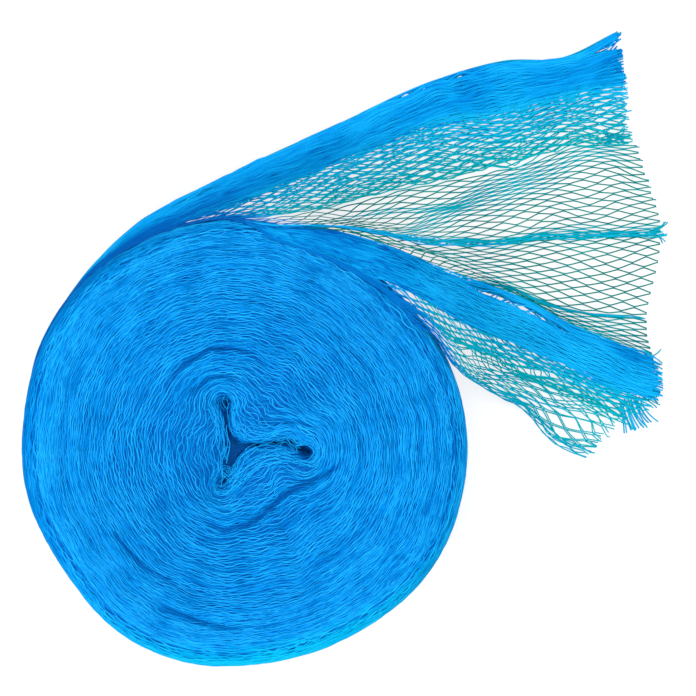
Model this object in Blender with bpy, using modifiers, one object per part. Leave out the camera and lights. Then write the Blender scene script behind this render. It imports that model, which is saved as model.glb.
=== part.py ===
"""A roll of fine bird netting lying on its end face, with its loose end fanned out beside it.

Two pieces of one net: `netting_roll` is the wound body with its collapsed three-lobed core, and
`loose_end` is the sheet that leaves the outer turn, rides over the rim and spreads on the ground.
The origin is on the ground under the middle of the whole, +Z is up and the roll's axis is +Z.
"""
import math
from collections import namedtuple

import bmesh
import bpy
from mathutils import Vector

MM = 0.001

# ---- Driving dimensions of the wound body ----
ROLL_CENTRE_X = -56.3 * MM
ROLL_CENTRE_Y = -51.8 * MM
ROLL_SECTIONS = 108

# Outer radius of the wound body by direction, the turns being a little slack and uneven.
Sector = namedtuple("Sector", "angle radius")
OUTLINE = (
    Sector(0, 121.6), Sector(30, 122.4), Sector(60, 121.4), Sector(90, 121.8),
    Sector(118, 122.8), Sector(137, 123.6), Sector(152, 122.6), Sector(170, 121.0),
    Sector(195, 121.4), Sector(212, 120.0), Sector(240, 124.0), Sector(256, 123.6),
    Sector(272, 121.2), Sector(300, 120.4), Sector(328, 123.2), Sector(345, 122.4),
)

# Side of the body, from the ground up to the rim: inset from the outline, and height.
Wall = namedtuple("Wall", "name inset height")
WALL = (
    Wall("ground edge", 5.0, 0.0),
    Wall("heel", 1.8, 3.0),
    Wall("lower side", 0.4, 12.0),
    Wall("belly", 0.0, 28.0),
    Wall("upper side", 0.8, 43.0),
    Wall("shoulder", 2.6, 52.0),
    Wall("round", 6.0, 57.8),
    Wall("rim", 11.0, 60.8),
)

# Upper face, from the rim (0) to the edge of the core (1), and then down the core.
Turn = namedtuple("Turn", "name share height")
UPPER_FACE = (
    Turn("outer turns", 0.06, 62.0),
    Turn("outer swell", 0.14, 63.4),
    Turn("slack turn", 0.22, 62.8),
    Turn("second swell", 0.31, 64.2),
    Turn("second slack", 0.40, 63.4),
    Turn("middle swell", 0.49, 64.6),
    Turn("middle slack", 0.58, 63.6),
    Turn("inner swell", 0.66, 64.2),
    Turn("inner slack", 0.74, 62.6),
    Turn("core swell", 0.82, 62.4),
    Turn("core fall", 0.90, 59.6),
    Turn("core lip", 0.96, 55.0),
    Turn("core throat", 1.0, 46.0),
    Turn("core foot", 1.0, 3.0),
    Turn("core ground edge", 0.985, 0.0),
)

# Long soft troughs pressed into the upper face between groups of turns.
Crease = namedtuple("Crease", "name start end share_start share_end depth half_width")
CREASES = (
    Crease("under the long lobe", -118.0, 4.0, 0.68, 0.79, 3.4, 0.055),
    Crease("over the round lobe", 92.0, 142.0, 0.70, 0.68, 2.2, 0.050),
    Crease("beside the round lobe", 92.0, 136.0, 0.84, 0.83, 1.8, 0.040),
    Crease("left of the core", 196.0, 262.0, 0.62, 0.66, 1.2, 0.050),
    Crease("right side", 300.0, 352.0, 0.36, 0.44, 1.2, 0.060),
    Crease("outer left", 196.0, 250.0, 0.20, 0.14, 1.4, 0.050),
)
SPIRAL_SWELL = 0.5
SPIRAL_TURNS = 4.0
SWELL_LIMIT = 0.93

# The core has collapsed to three lobes that meet off the middle of the roll.
CORE_OFFSET = (-6.2, -3.0)
Lobe = namedtuple("Lobe", "name angle reach half_width tip_half_width")
LOBES = (
    Lobe("long lobe", -2.0, 41.5, 1.9, 3.3),
    Lobe("round lobe", 99.0, 26.5, 2.2, 3.8),
    Lobe("short lobe", 263.0, 20.5, 3.0, 2.8),
)
CORE_WEB = 4.6
LOBE_TIP_LENGTH = 4.0
LOBE_TIP_SPREAD = 10.0
LOBE_SIDE_SPREAD = 24.0
LOBE_SIDE_SHARE = 0.5

# ---- Driving dimensions of the loose end ----
SHEET_THICKNESS = 2.0
SEAT_GAP = 0.65
EDGE_CLEARANCE = 2.0
START_ANGLE = 172.0
SHOULDER_START = 44.0
SHOULDER_RISE = 12.0
CURVE_STEPS = 12
RIM_STEP = 6.0
CLIMB_SPAN = 22.0
SHEET_STATIONS = 44
SPANS_PER_FOLD = 3
FREE_DISTANCE = 30.0
SETTLING_PASSES = 4
SETTLING_SHARE = 0.6

# Each fold lies on the roll's side at wall_from (0 ground, 1 rim), climbs to wall_to from the angle
# climbs_at, leaves the roll at leaves_at and runs on through its points (x, y, z) to the cut edge.
# sag is how far the net beyond the fold drops towards the ground: a negative sag stands proud.
Fold = namedtuple("Fold", "name wall_from wall_to climbs_at leaves_at sag points")
FOLDS = (
    Fold("outer edge", 0.08, 0.36, 166, 143, -0.35,
         ((-114, 69, 26), (-73, 91.5, 20), (-4, 124, 12), (46.5, 147, 8),
          (89, 159, 7), (117, 160, 7), (150.5, 175.5, 4))),
    Fold("lower edge of the upper bunch", 0.24, 0.58, 158, 130, 0.2,
         ((-82, 70, 30), (-48, 87, 18), (-4, 107, 9), (51, 127, 7),
          (84, 133, 6), (122, 142, 5.5), (156, 147, 3.5))),
    Fold("edge of the close net", 0.38, 0.68, 138, 108, 0.75,
         ((-46, 73, 32), (-4, 81, 12), (46, 92, 4.5), (76, 100, 3),
          (103, 106, 3), (122, 113, 3), (160, 113.5, 2))),
    Fold("rope fold", 0.50, 0.85, 112, 84, 0.8,
         ((-4, 66, 48), (21, 62.5, 29), (46, 58, 13), (84, 58.5, 6),
          (109, 62, 5), (147, 63, 5), (179, 64.5, 4))),
    Fold("small fold", 0.57, 0.90, 110, 76, 0.7,
         ((13, 59, 45), (34, 54.5, 26), (60, 47, 11), (88, 37, 4),
          (118, 24, 3), (140, 20, 3), (166, 20.5, 2))),
    Fold("upper edge of the lower bunch", 0.64, 0.93, 106, 70, -0.25,
         ((28, 52, 42), (46, 44.5, 28), (71, 35, 15), (97, 26, 9),
          (122, 12, 8), (147, 2, 7), (170.5, -8, 4))),
    Fold("lower edge of the lower bunch", 0.70, 0.97, 104, 54, 0.1,
         ((34, 31, 52), (46, 24, 40), (60, 16.5, 28), (97, 2, 10),
          (122, -8, 8), (147, -22, 6), (170, -31, 3.5))),
    Fold("tufted net", 0.75, 0.99, 103, 42, 0.4,
         ((42, 18, 54), (54, 7, 38), (68, -1, 23), (96, -13, 6),
          (124, -26, 4), (158, -44, 2.5))),
    Fold("fringe edge", 0.80, 1.0, 102, 31, 0.0,
         ((46.5, 7, 56), (55, -5, 38), (69.5, -18.5, 14), (84, -27, 4),
          (96, -33, 2.5), (116, -54, 2), (134.5, -61.5, 1.4))),
)

NET_COLOUR = (0.0, 0.27, 0.82, 1.0)
NET_ROUGHNESS = 0.5
BODY_ROUGHNESS = 0.55


# ---------------------------------------------------------------- curves
def blend_through(before, start, end, after, share):
    """Catmull-Rom value between start and end, for numbers or vectors."""
    square, cube = share * share, share * share * share
    return 0.5 * (2.0 * start + (end - before) * share
                  + (2.0 * before - 5.0 * start + 4.0 * end - after) * square
                  + (3.0 * start - before - 3.0 * end + after) * cube)


def smooth_step(value):
    value = min(1.0, max(0.0, value))
    return value * value * (3.0 - 2.0 * value)


def open_curve(points, count):
    """Evenly spaced points along the smooth curve through the given ones."""
    dense = []
    last = len(points) - 1
    for index in range(last):
        start, end = points[index], points[index + 1]
        before, after = points[max(index - 1, 0)], points[min(index + 2, last)]
        for step in range(CURVE_STEPS):
            dense.append(blend_through(before, start, end, after, step / CURVE_STEPS))
    dense.append(points[last].copy())
    travelled = [0.0]
    for one, two in zip(dense, dense[1:]):
        travelled.append(travelled[-1] + (two - one).length)
    spaced, index = [], 0
    for step in range(count):
        target = travelled[-1] * step / (count - 1)
        while index < len(dense) - 2 and travelled[index + 1] < target:
            index += 1
        span = travelled[index + 1] - travelled[index]
        spaced.append(dense[index].lerp(dense[index + 1], (target - travelled[index]) / span))
    return spaced


# ---------------------------------------------------------------- wound body
def outline_radius(angle):
    """Outer radius of the wound body in a direction given in degrees."""
    angle %= 360.0
    count = len(OUTLINE)
    index = max(i for i in range(count) if OUTLINE[i].angle <= angle)
    start, end = OUTLINE[index], OUTLINE[(index + 1) % count]
    share = (angle - start.angle) / ((end.angle - start.angle) % 360.0)
    before, after = OUTLINE[index - 1], OUTLINE[(index + 2) % count]
    return blend_through(before.radius, start.radius, end.radius, after.radius, share)


def core_outline():
    """Closed outline of the core hollow: pairs of direction in the roll and point."""
    rows = []
    for lobe, following in zip(LOBES, LOBES[1:] + LOBES[:1]):
        along = Vector((math.cos(math.radians(lobe.angle)), math.sin(math.radians(lobe.angle))))
        across = Vector((-along.y, along.x))
        corner = lobe.angle + ((following.angle - lobe.angle) % 360.0) / 2.0
        web = Vector((math.cos(math.radians(corner)), math.sin(math.radians(corner))))
        side, side_width = along * lobe.reach * LOBE_SIDE_SHARE, across * lobe.half_width
        tip, tip_width = along * (lobe.reach - LOBE_TIP_LENGTH), across * lobe.tip_half_width
        rows += [
            (lobe.angle - LOBE_SIDE_SPREAD, side - side_width),
            (lobe.angle - LOBE_TIP_SPREAD, tip - tip_width),
            (lobe.angle, along * lobe.reach),
            (lobe.angle + LOBE_TIP_SPREAD, tip + tip_width),
            (lobe.angle + LOBE_SIDE_SPREAD, side + side_width),
            (corner, web * CORE_WEB),
        ]
    return [(angle % 360.0, point + Vector(CORE_OFFSET)) for angle, point in rows]


CORE_ROWS = sorted(core_outline(), key=lambda row: row[0])


def core_point(angle):
    """Point of the core outline that faces a direction of the roll."""
    angle %= 360.0
    count = len(CORE_ROWS)
    below = [i for i in range(count) if CORE_ROWS[i][0] <= angle]
    index = below[-1] if below else count - 1
    start, end = CORE_ROWS[index], CORE_ROWS[(index + 1) % count]
    share = ((angle - start[0]) % 360.0) / ((end[0] - start[0]) % 360.0)
    before, after = CORE_ROWS[index - 1], CORE_ROWS[(index + 2) % count]
    return blend_through(before[1], start[1], end[1], after[1], share)


def crease_depth(angle, share):
    """Depth of all the troughs at one place of the upper face."""
    depth = 0.0
    for crease in CREASES:
        travelled = ((angle - crease.start) % 360.0) / (crease.end - crease.start)
        if travelled >= 1.0:
            continue
        middle = crease.share_start + (crease.share_end - crease.share_start) * travelled
        away = (share - middle) / crease.half_width
        depth += crease.depth * math.sin(math.pi * travelled) ** 0.5 * math.exp(-away * away)
    return depth


def body_section(angle):
    """Closed section of the wound body in one direction, as points in millimetres."""
    direction = Vector((math.cos(math.radians(angle)), math.sin(math.radians(angle))))
    radius = outline_radius(angle)
    section = [(direction * (radius - row.inset), row.height) for row in WALL]
    rim, core = section[-1][0], core_point(angle)
    for row in UPPER_FACE:
        height = row.height
        if row.share < SWELL_LIMIT:
            swell = math.cos(math.tau * (SPIRAL_TURNS * row.share + angle / 360.0))
            height += SPIRAL_SWELL * swell - crease_depth(angle, row.share)
        section.append((rim.lerp(core, row.share), height))
    return [Vector((point.x, point.y, height)) for point, height in section]


def in_place(point):
    """From millimetres about the roll's axis to metres about the origin."""
    return Vector((point.x * MM + ROLL_CENTRE_X, point.y * MM + ROLL_CENTRE_Y, point.z * MM))


def build_body(collection, material):
    """Loft the closed sections round the roll into one ring."""
    ring = bmesh.new()
    rows = []
    for index in range(ROLL_SECTIONS):
        section = body_section(360.0 * index / ROLL_SECTIONS)
        rows.append([ring.verts.new(in_place(point)) for point in section])
    for index, row in enumerate(rows):
        following = rows[(index + 1) % ROLL_SECTIONS]
        for place in range(len(row)):
            beyond = (place + 1) % len(row)
            ring.faces.new((row[place], following[place], following[beyond], row[beyond]))
    return finish_mesh("netting_roll", ring, collection, material)


# ---------------------------------------------------------------- loose end
def side_profile():
    """The wall and the first of the upper face, as points of inset and height."""
    profile = [Vector((row.inset, row.height)) for row in WALL]
    mean_radius = sum(row.radius for row in OUTLINE) / len(OUTLINE)
    for row in UPPER_FACE[:3]:
        profile.append(Vector((WALL[-1].inset + mean_radius * row.share, row.height + SPIRAL_SWELL)))
    return profile


SIDE_PROFILE = side_profile()


def clearance(height):
    """Distance that the middle of the sheet keeps from the roll at a height."""
    over_edge = smooth_step((height - SHOULDER_START) / SHOULDER_RISE)
    return SHEET_THICKNESS / 2.0 + SEAT_GAP + (EDGE_CLEARANCE - SEAT_GAP) * over_edge


def off_profile(place):
    """Point of the side at place (0 ground, 1 rim), moved out by the clearance."""
    lengths = [0.0]
    for one, two in zip(SIDE_PROFILE, SIDE_PROFILE[1:]):
        lengths.append(lengths[-1] + (two - one).length)
    target = lengths[len(WALL) - 1] * place
    index = max(i for i in range(len(SIDE_PROFILE) - 1) if lengths[i] <= target)
    start, end = SIDE_PROFILE[index], SIDE_PROFILE[index + 1]
    along = (end - start).normalized()
    point = start + along * (target - lengths[index])
    outward = Vector((-along.y, along.x))
    return point + outward * clearance(point.y)


def rim_point(angle, place):
    """Point of the sheet lying on the roll's side in one direction."""
    lifted = off_profile(place)
    reach = outline_radius(angle) - lifted.x
    return Vector((reach * math.cos(math.radians(angle)),
                   reach * math.sin(math.radians(angle)), lifted.y))


def keep_off_roll(point):
    """Move a point of the sheet out of the roll, to the clearance from its side."""
    angle = math.degrees(math.atan2(point.y, point.x))
    radius = outline_radius(angle)
    spot = Vector((radius - math.hypot(point.x, point.y), point.z))
    nearest, outward, distance = None, None, float("inf")
    for start, end in zip(SIDE_PROFILE, SIDE_PROFILE[1:]):
        span = end - start
        share = min(1.0, max(0.0, (spot - start).dot(span) / span.length_squared))
        foot = start + span * share
        if (spot - foot).length < distance:
            distance = (spot - foot).length
            nearest = foot
            outward = Vector((-span.y, span.x)).normalized()
    apart = (spot - nearest).dot(outward)
    wanted = clearance(nearest.y)
    if apart >= wanted or (apart > 0.0 and distance >= wanted):
        return point
    spot = nearest + outward * wanted
    reach = radius - spot.x
    return Vector((reach * math.cos(math.radians(angle)),
                   reach * math.sin(math.radians(angle)), spot.y))


def fold_path(fold):
    """One fold from the roll's side to the cut edge, in millimetres about the roll's axis."""
    points, angle = [], START_ANGLE
    while angle > fold.leaves_at:
        travelled = smooth_step((fold.climbs_at - angle) / CLIMB_SPAN)
        place = fold.wall_from + (fold.wall_to - fold.wall_from) * travelled
        points.append(rim_point(angle, place))
        angle -= RIM_STEP
    centre = Vector((ROLL_CENTRE_X / MM, ROLL_CENTRE_Y / MM, 0.0))
    points += [Vector(point) - centre for point in fold.points]
    return open_curve(points, SHEET_STATIONS)


def looseness(point):
    """How free the net is to drop: 0 on the roll, 1 well clear of it."""
    angle = math.degrees(math.atan2(point.y, point.x))
    return smooth_step((math.hypot(point.x, point.y) - outline_radius(angle)) / FREE_DISTANCE)


def sheet_rows():
    """Points of the sheet's middle surface: a row across the folds at each station."""
    paths = [fold_path(fold) for fold in FOLDS]
    lowest = SHEET_THICKNESS / 2.0
    last = len(paths) - 1
    rows = []
    for station in range(SHEET_STATIONS):
        row = []
        for index in range(last):
            before, after = paths[max(index - 1, 0)], paths[min(index + 2, last)]
            for step in range(SPANS_PER_FOLD):
                share = step / SPANS_PER_FOLD
                point = blend_through(before[station], paths[index][station],
                                      paths[index + 1][station], after[station], share)
                drop = FOLDS[index].sag * math.sin(math.pi * share) ** 2 * looseness(point)
                point.z = max(lowest, point.z * (1.0 - drop))
                row.append(keep_off_roll(point))
        row.append(keep_off_roll(paths[last][station]))
        rows.append(row)
    for _ in range(SETTLING_PASSES):
        rows = settle(rows)
    return rows


def settle(rows):
    """Ease the sheet between its neighbours where it lies on the roll, and keep it off the roll."""
    eased = [list(row) for row in rows]
    for station in range(1, len(rows) - 1):
        for place in range(len(rows[0])):
            point = rows[station][place]
            around = rows[station - 1][place] + rows[station + 1][place]
            count = 2
            if 0 < place < len(rows[0]) - 1:
                around = around + rows[station][place - 1] + rows[station][place + 1]
                count = 4
            hold = (1.0 - looseness(point)) * SETTLING_SHARE
            eased[station][place] = keep_off_roll(point.lerp(around / count, hold))
    return eased


def build_loose_end(collection, material):
    """Grid laid on the folds and given its thickness."""
    rows = sheet_rows()
    across = len(rows[0])
    sheet = bmesh.new()
    bmesh.ops.create_grid(sheet, x_segments=across - 1, y_segments=SHEET_STATIONS - 1, size=0.5)
    for vertex in sheet.verts:
        place = round((vertex.co.x + 0.5) * (across - 1))
        station = round((vertex.co.y + 0.5) * (SHEET_STATIONS - 1))
        vertex.co = in_place(rows[station][place])
    piece = finish_mesh("loose_end", sheet, collection, material)
    thickness = piece.modifiers.new("thickness", "SOLIDIFY")
    thickness.thickness = SHEET_THICKNESS * MM
    thickness.offset = 0.0
    thickness.use_even_offset = False
    return piece


# ---------------------------------------------------------------- finish and assembly
def net_material(name, roughness):
    material = bpy.data.materials.new(name)
    material.use_nodes = True
    shader = material.node_tree.nodes["Principled BSDF"]
    shader.inputs["Base Color"].default_value = NET_COLOUR
    shader.inputs["Roughness"].default_value = roughness
    shader.inputs["Metallic"].default_value = 0.0
    return material


def finish_mesh(name, shape, collection, material):
    """Turn a bmesh into a smooth-shaded object of the collection."""
    bmesh.ops.recalc_face_normals(shape, faces=shape.faces)
    mesh = bpy.data.meshes.new(name)
    shape.to_mesh(mesh)
    shape.free()
    mesh.shade_smooth()
    mesh.set_sharp_from_angle(angle=math.radians(50.0))
    mesh.materials.append(material)
    piece = bpy.data.objects.new(name, mesh)
    collection.objects.link(piece)
    return piece


def main():
    for old in list(bpy.data.objects):
        bpy.data.objects.remove(old, do_unlink=True)
    collection = bpy.data.collections.new("bird_netting_roll")
    bpy.context.scene.collection.children.link(collection)
    build_body(collection, net_material("wound_net", BODY_ROUGHNESS))
    build_loose_end(collection, net_material("loose_net", NET_ROUGHNESS))


main()
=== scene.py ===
"""Looks of a roll of fine bird netting that lies on its end, its loose end fanned out beside it.

The wound body is a lofted ring with strands laid on it in mesh-shaped waves, turn after turn. The
loose end is a real net: every strand runs from the roll to the cut edge and swings from one
neighbour to the other, so that its meshes open where the net spreads and close where it is
gathered. Lengths are in millimetres about the roll's axis until a mesh is written.
"""
from __future__ import annotations

import logging
import math
from dataclasses import dataclass, field
from enum import Enum

import bpy
import numpy as np
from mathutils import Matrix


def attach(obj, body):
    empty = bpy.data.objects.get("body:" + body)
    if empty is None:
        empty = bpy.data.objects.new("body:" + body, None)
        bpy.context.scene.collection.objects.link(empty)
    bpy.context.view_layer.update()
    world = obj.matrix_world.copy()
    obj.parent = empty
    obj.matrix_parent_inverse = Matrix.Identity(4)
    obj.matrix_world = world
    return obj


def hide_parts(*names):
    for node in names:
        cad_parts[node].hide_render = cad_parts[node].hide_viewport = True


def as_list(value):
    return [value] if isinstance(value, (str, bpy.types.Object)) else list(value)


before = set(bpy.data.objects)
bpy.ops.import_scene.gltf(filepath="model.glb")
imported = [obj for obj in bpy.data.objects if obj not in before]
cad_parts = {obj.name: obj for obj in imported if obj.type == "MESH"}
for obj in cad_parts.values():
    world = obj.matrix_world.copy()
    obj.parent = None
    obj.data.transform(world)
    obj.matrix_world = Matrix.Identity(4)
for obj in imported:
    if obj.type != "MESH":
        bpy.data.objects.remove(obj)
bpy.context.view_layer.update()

LOG = logging.getLogger("netting_roll")
MM = 0.001
BODY = "root"
WOUND_SLOT = "wound_net"
LOOSE_SLOT = "loose_net"
BAKE_MAP = "OFBake"
AXIS = np.array([-56.3, -51.8, 0.0])

Array = np.ndarray
Draws = np.random.Generator
Piece = bpy.types.Object
Material = bpy.types.Material
Socket = bpy.types.NodeSocket
Group = bpy.types.NodeTree
Colour = tuple[float, float, float, float]
Pair = tuple[float, float]
Places = tuple[Pair, ...]


# ---- curves and noise
def ease(value: Array) -> Array:
    """Ease from 0 to 1."""
    value = np.clip(value, 0.0, 1.0)
    return value * value * (3.0 - 2.0 * value)


def smooth_curve(at: Array, knots: Array, values: Array) -> Array:
    """Read the smooth curve through some knots.

    Args:
        at: Places to read.
        knots: Rising places of the knots.
        values: Value at each knot.

    Returns:
        The value at each place.
    """
    slopes = np.gradient(values, knots)
    index = np.clip(np.searchsorted(knots, at, side="right") - 1, 0, len(knots) - 2)
    width = knots[index + 1] - knots[index]
    t = np.clip((at - knots[index]) / width, 0.0, 1.0)
    start, end = values[index], values[index + 1]
    leave, arrive = slopes[index] * width, slopes[index + 1] * width
    return (start * (2 * t**3 - 3 * t**2 + 1) + leave * (t**3 - 2 * t**2 + t)
            + end * (3 * t**2 - 2 * t**3) + arrive * (t**3 - t**2))


def blend(first: Array, last: Array, share: Array) -> Array:
    """Value a share of the way from one to another."""
    return first + (last - first) * share


def lengths_along(points: Array) -> Array:
    """Distance of each point from the first, along the line."""
    steps = np.linalg.norm(np.diff(points, axis=0), axis=1)
    return np.concatenate([[0.0], np.cumsum(steps)])


def read_along(points: Array, along: Array, at: Array) -> Array:
    """Points of a line at given distances along it."""
    return np.stack([np.interp(at, along, column) for column in points.T], axis=1)


def curve_through(points: Array, along: Array, at: Array) -> Array:
    """Points of the smooth curve through a line's points, at given distances along it."""
    return np.stack([smooth_curve(at, along, column) for column in points.T], axis=1)


def nearest_on(places: Array, start: Array, span: Array) -> tuple[Array, Array]:
    """Share of the way along a straight stretch nearest to each place, and distance from it."""
    share = np.clip(((places - start) @ span) / (span @ span), 0.0, 1.0)
    return share, np.linalg.norm(places - start - share[..., None] * span, axis=-1)


def direction(points: Array) -> Array:
    """Direction of each point from the roll's axis, in radians."""
    return np.arctan2(points[..., 1], points[..., 0])


def round_the_axis(reach: Array, angle: Array, height: Array) -> Array:
    """Points at distances from the roll's axis, in directions in radians and at heights."""
    return np.stack([reach * np.cos(angle), reach * np.sin(angle), height], axis=-1)


def turned_outwards(heading: Array) -> Array:
    """Directions to the right of some headings, which is outwards for a turn of the roll."""
    return np.stack([heading[:, 1], -heading[:, 0]], axis=1)


def unit(vectors: Array) -> Array:
    """Vectors scaled to a length of one."""
    return vectors / np.maximum(np.linalg.norm(vectors, axis=-1, keepdims=True), 1e-9)


def drift(rng: Draws, rows: int, at: Array, spacing: float) -> Array:
    """Make smooth random curves.

    Args:
        rng: Source of the random knots.
        rows: Number of curves.
        at: Places along each curve, from 0 up.
        spacing: Distance between knots.

    Returns:
        One row of values from -1 to 1 for each curve.
    """
    place = at / spacing
    index = np.floor(place).astype(int)
    knots = rng.uniform(-1.0, 1.0, (rows, index.max() + 2))
    share = ease(place - index)
    return knots[:, index] * (1.0 - share) + knots[:, index + 1] * share


@dataclass(frozen=True)
class Ripple:
    """Soft random waves over a plane, from about -1 to 1."""

    seed: int
    shortest: float
    longest: float
    waves: int = 7

    def at(self, x: Array, y: Array) -> Array:
        """Height of the waves at each place.

        Args:
            x: Places in one direction.
            y: Places in the other.

        Returns:
            The heights.
        """
        rng = np.random.default_rng(self.seed)
        total = np.zeros(np.broadcast(x, y).shape)
        for _ in range(self.waves):
            heading = rng.uniform(0.0, math.tau)
            turn = math.tau / rng.uniform(self.shortest, self.longest)
            start = rng.uniform(0.0, math.tau)
            total += np.sin(turn * (x * math.cos(heading) + y * math.sin(heading)) + start)
        return total / math.sqrt(2.0 * self.waves)


# ---- strands as meshes
class Section(Enum):
    """Cross-sections of a strand: places to its side and above it."""

    RIDGE = ((-1.0, -0.9), (0.0, 1.0), (1.0, -0.9))
    LOW = ((-1.0, -0.4), (0.0, 0.6), (1.0, -0.4))
    TUBE = ((-0.87, -0.5), (0.0, 1.0), (0.87, -0.5))


@dataclass
class StrandMesh:
    """Strands gathered into one mesh."""

    name: str
    section: Section
    row_segments: int = 300
    gutter: float = 0.08
    _batches: list[dict[str, Array]] = field(default_factory=list)

    def add(self, points: Array, up: Array, radius: float, **values: Array) -> None:
        """Add one strand.

        Args:
            points: Its centreline.
            up: Direction away from what it lies on, at each point.
            radius: Half its thickness.
            values: Numbers to keep at each point, by name.
        """
        heading = unit(np.gradient(points, axis=0))
        side = unit(np.cross(heading, up))
        above = np.cross(side, heading)
        corners = np.array(self.section.value)
        ring = (points[:, None, :] + radius * corners[None, :, :1] * side[:, None, :]
                + radius * corners[None, :, 1:] * above[:, None, :])
        kept = {name: np.broadcast_to(value, len(points)) for name, value in values.items()}
        self._batches.append({"ring": ring, **kept})

    def build(self, material: Material) -> Piece:
        """Write the mesh.

        Args:
            material: Its finish.

        Returns:
            The new piece.
        """
        corners = len(self.section.value)
        closed = self.section is Section.TUBE
        sides = corners if closed else corners - 1
        lengths = [math.ceil((len(batch["ring"]) - 1) / self.row_segments) for batch in self._batches]
        rows = sum(lengths)
        quads, caps, maps = [], [], []
        first, row = 0, 0
        for batch, length in zip(self._batches, lengths):
            count = len(batch["ring"])
            station = np.arange(count - 1)[:, None]
            corner = np.arange(sides)[None, :]
            following = (corner + 1) % corners
            here, there = first + station * corners, first + (station + 1) * corners
            quads.append(np.stack(np.broadcast_arrays(
                here + corner, here + following, there + following, there + corner), -1))
            along = (station % self.row_segments) / self.row_segments
            line = row + station // self.row_segments
            low = (line + (corner + self.gutter) / sides) / rows
            high = (line + (corner + 1.0 - self.gutter) / sides) / rows
            maps.append(map_corners(along, along + 1.0 / self.row_segments, low, high).ravel())
            if closed:
                last = first + (count - 1) * corners
                caps += [(first, first + 2, first + 1), (last, last + 1, last + 2)]
            first += count * corners
            row += length
        faces = np.concatenate([quad.reshape(-1, 4) for quad in quads])
        mesh = bpy.data.meshes.new(self.name)
        shape = np.concatenate([batch["ring"].reshape(-1, 3) for batch in self._batches])
        mesh.from_pydata(in_place(shape), [], faces.tolist() + caps)
        write_bake_map(mesh, np.concatenate(maps))
        for name in self._batches[0]:
            if name != "ring":
                values = [np.repeat(batch[name], corners) for batch in self._batches]
                write_values(mesh, name, np.concatenate(values))
        return new_piece(mesh, material)


def in_place(points: Array) -> Array:
    """From millimetres about the roll's axis to metres in the frame."""
    return (points + AXIS) * MM


def map_corners(left: Array, right: Array, low: Array, high: Array) -> Array:
    """Corners of the rectangles between two sides and two levels of the bake map."""
    return np.stack(np.broadcast_arrays(left, low, left, high, right, high, right, low), -1)


def write_bake_map(mesh: bpy.types.Mesh, corners: Array) -> None:
    """Write the bake map of a mesh, face by face, with its last faces shut at one corner.

    Args:
        mesh: The mesh.
        corners: Places of the corners of its four-sided faces.
    """
    layer = mesh.uv_layers.new(name=BAKE_MAP)
    places = np.zeros(len(mesh.loops) * 2)
    places[: corners.size] = corners.ravel()
    layer.data.foreach_set("uv", places)


def write_values(mesh: bpy.types.Mesh, name: str, values: Array) -> None:
    """Keep a number at each point of a mesh."""
    kept = mesh.attributes.new(name, "FLOAT", "POINT")
    kept.data.foreach_set("value", values.astype(np.float32))


def new_piece(mesh: bpy.types.Mesh, material: Material) -> Piece:
    """Shade a mesh smooth, give it its finish and make it an object of the scene.

    Args:
        mesh: The mesh.
        material: Its finish.

    Returns:
        The new piece.
    """
    mesh.shade_smooth()
    mesh.materials.append(material)
    piece = bpy.data.objects.new(mesh.name, mesh)
    bpy.context.scene.collection.objects.link(piece)
    return piece


# ---- form of the wound body
@dataclass(frozen=True)
class Outline:
    """Outer edge of the wound body by direction, its turns a little slack and uneven."""

    sectors: Places = (
        (0, 121.6), (24, 119.4), (44, 116.6), (64, 117.8), (90, 121.8), (118, 122.8), (137, 123.6),
        (152, 122.6), (170, 121.0), (195, 121.4), (212, 120.0), (240, 124.0), (256, 123.6),
        (272, 121.2), (300, 120.4), (328, 123.2), (345, 122.4),
    )

    def radius(self, angle: Array) -> Array:
        """Outer radius in directions given in degrees.

        Args:
            angle: The directions.

        Returns:
            The radii.
        """
        knots, radii = np.array(self.sectors, float).T
        knots = np.concatenate([knots[-2:] - 360.0, knots, knots[:3] + 360.0])
        radii = np.concatenate([radii[-2:], radii, radii[:3]])
        return smooth_curve(np.mod(angle, 360.0), knots, radii)

    def inset(self, points: Array) -> Array:
        """Distance of each point in from the outer edge."""
        return self.radius(np.degrees(direction(points))) - np.linalg.norm(points[..., :2], axis=-1)


@dataclass(frozen=True)
class SideProfile:
    """Side of the wound body, from the ground up to the rim: inset and height."""

    rows: Places = (
        (5.0, 0.0), (1.8, 3.0), (0.4, 12.0), (0.0, 28.0),
        (0.8, 43.0), (2.6, 52.0), (6.0, 57.8), (11.0, 60.8),
    )

    @property
    def rim_inset(self) -> float:
        """Inset of the rim from the outline."""
        return self.rows[-1][0]

    def from_rim(self, distance: Array) -> tuple[Array, Array]:
        """Inset and height at distances down from the rim.

        Args:
            distance: The distances.

        Returns:
            The insets and the heights.
        """
        rows = np.array(self.rows[::-1])
        along = lengths_along(rows)
        return (smooth_curve(distance, along, rows[:, 0]), smooth_curve(distance, along, rows[:, 1]))

    @property
    def length(self) -> float:
        """Distance from the rim to the ground, along the side."""
        return float(lengths_along(np.array(self.rows))[-1])


@dataclass(frozen=True)
class HollowPoint:
    """Place in the core hollow, about the core's middle, and half its width there."""

    x: float
    y: float
    half_width: float


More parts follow.
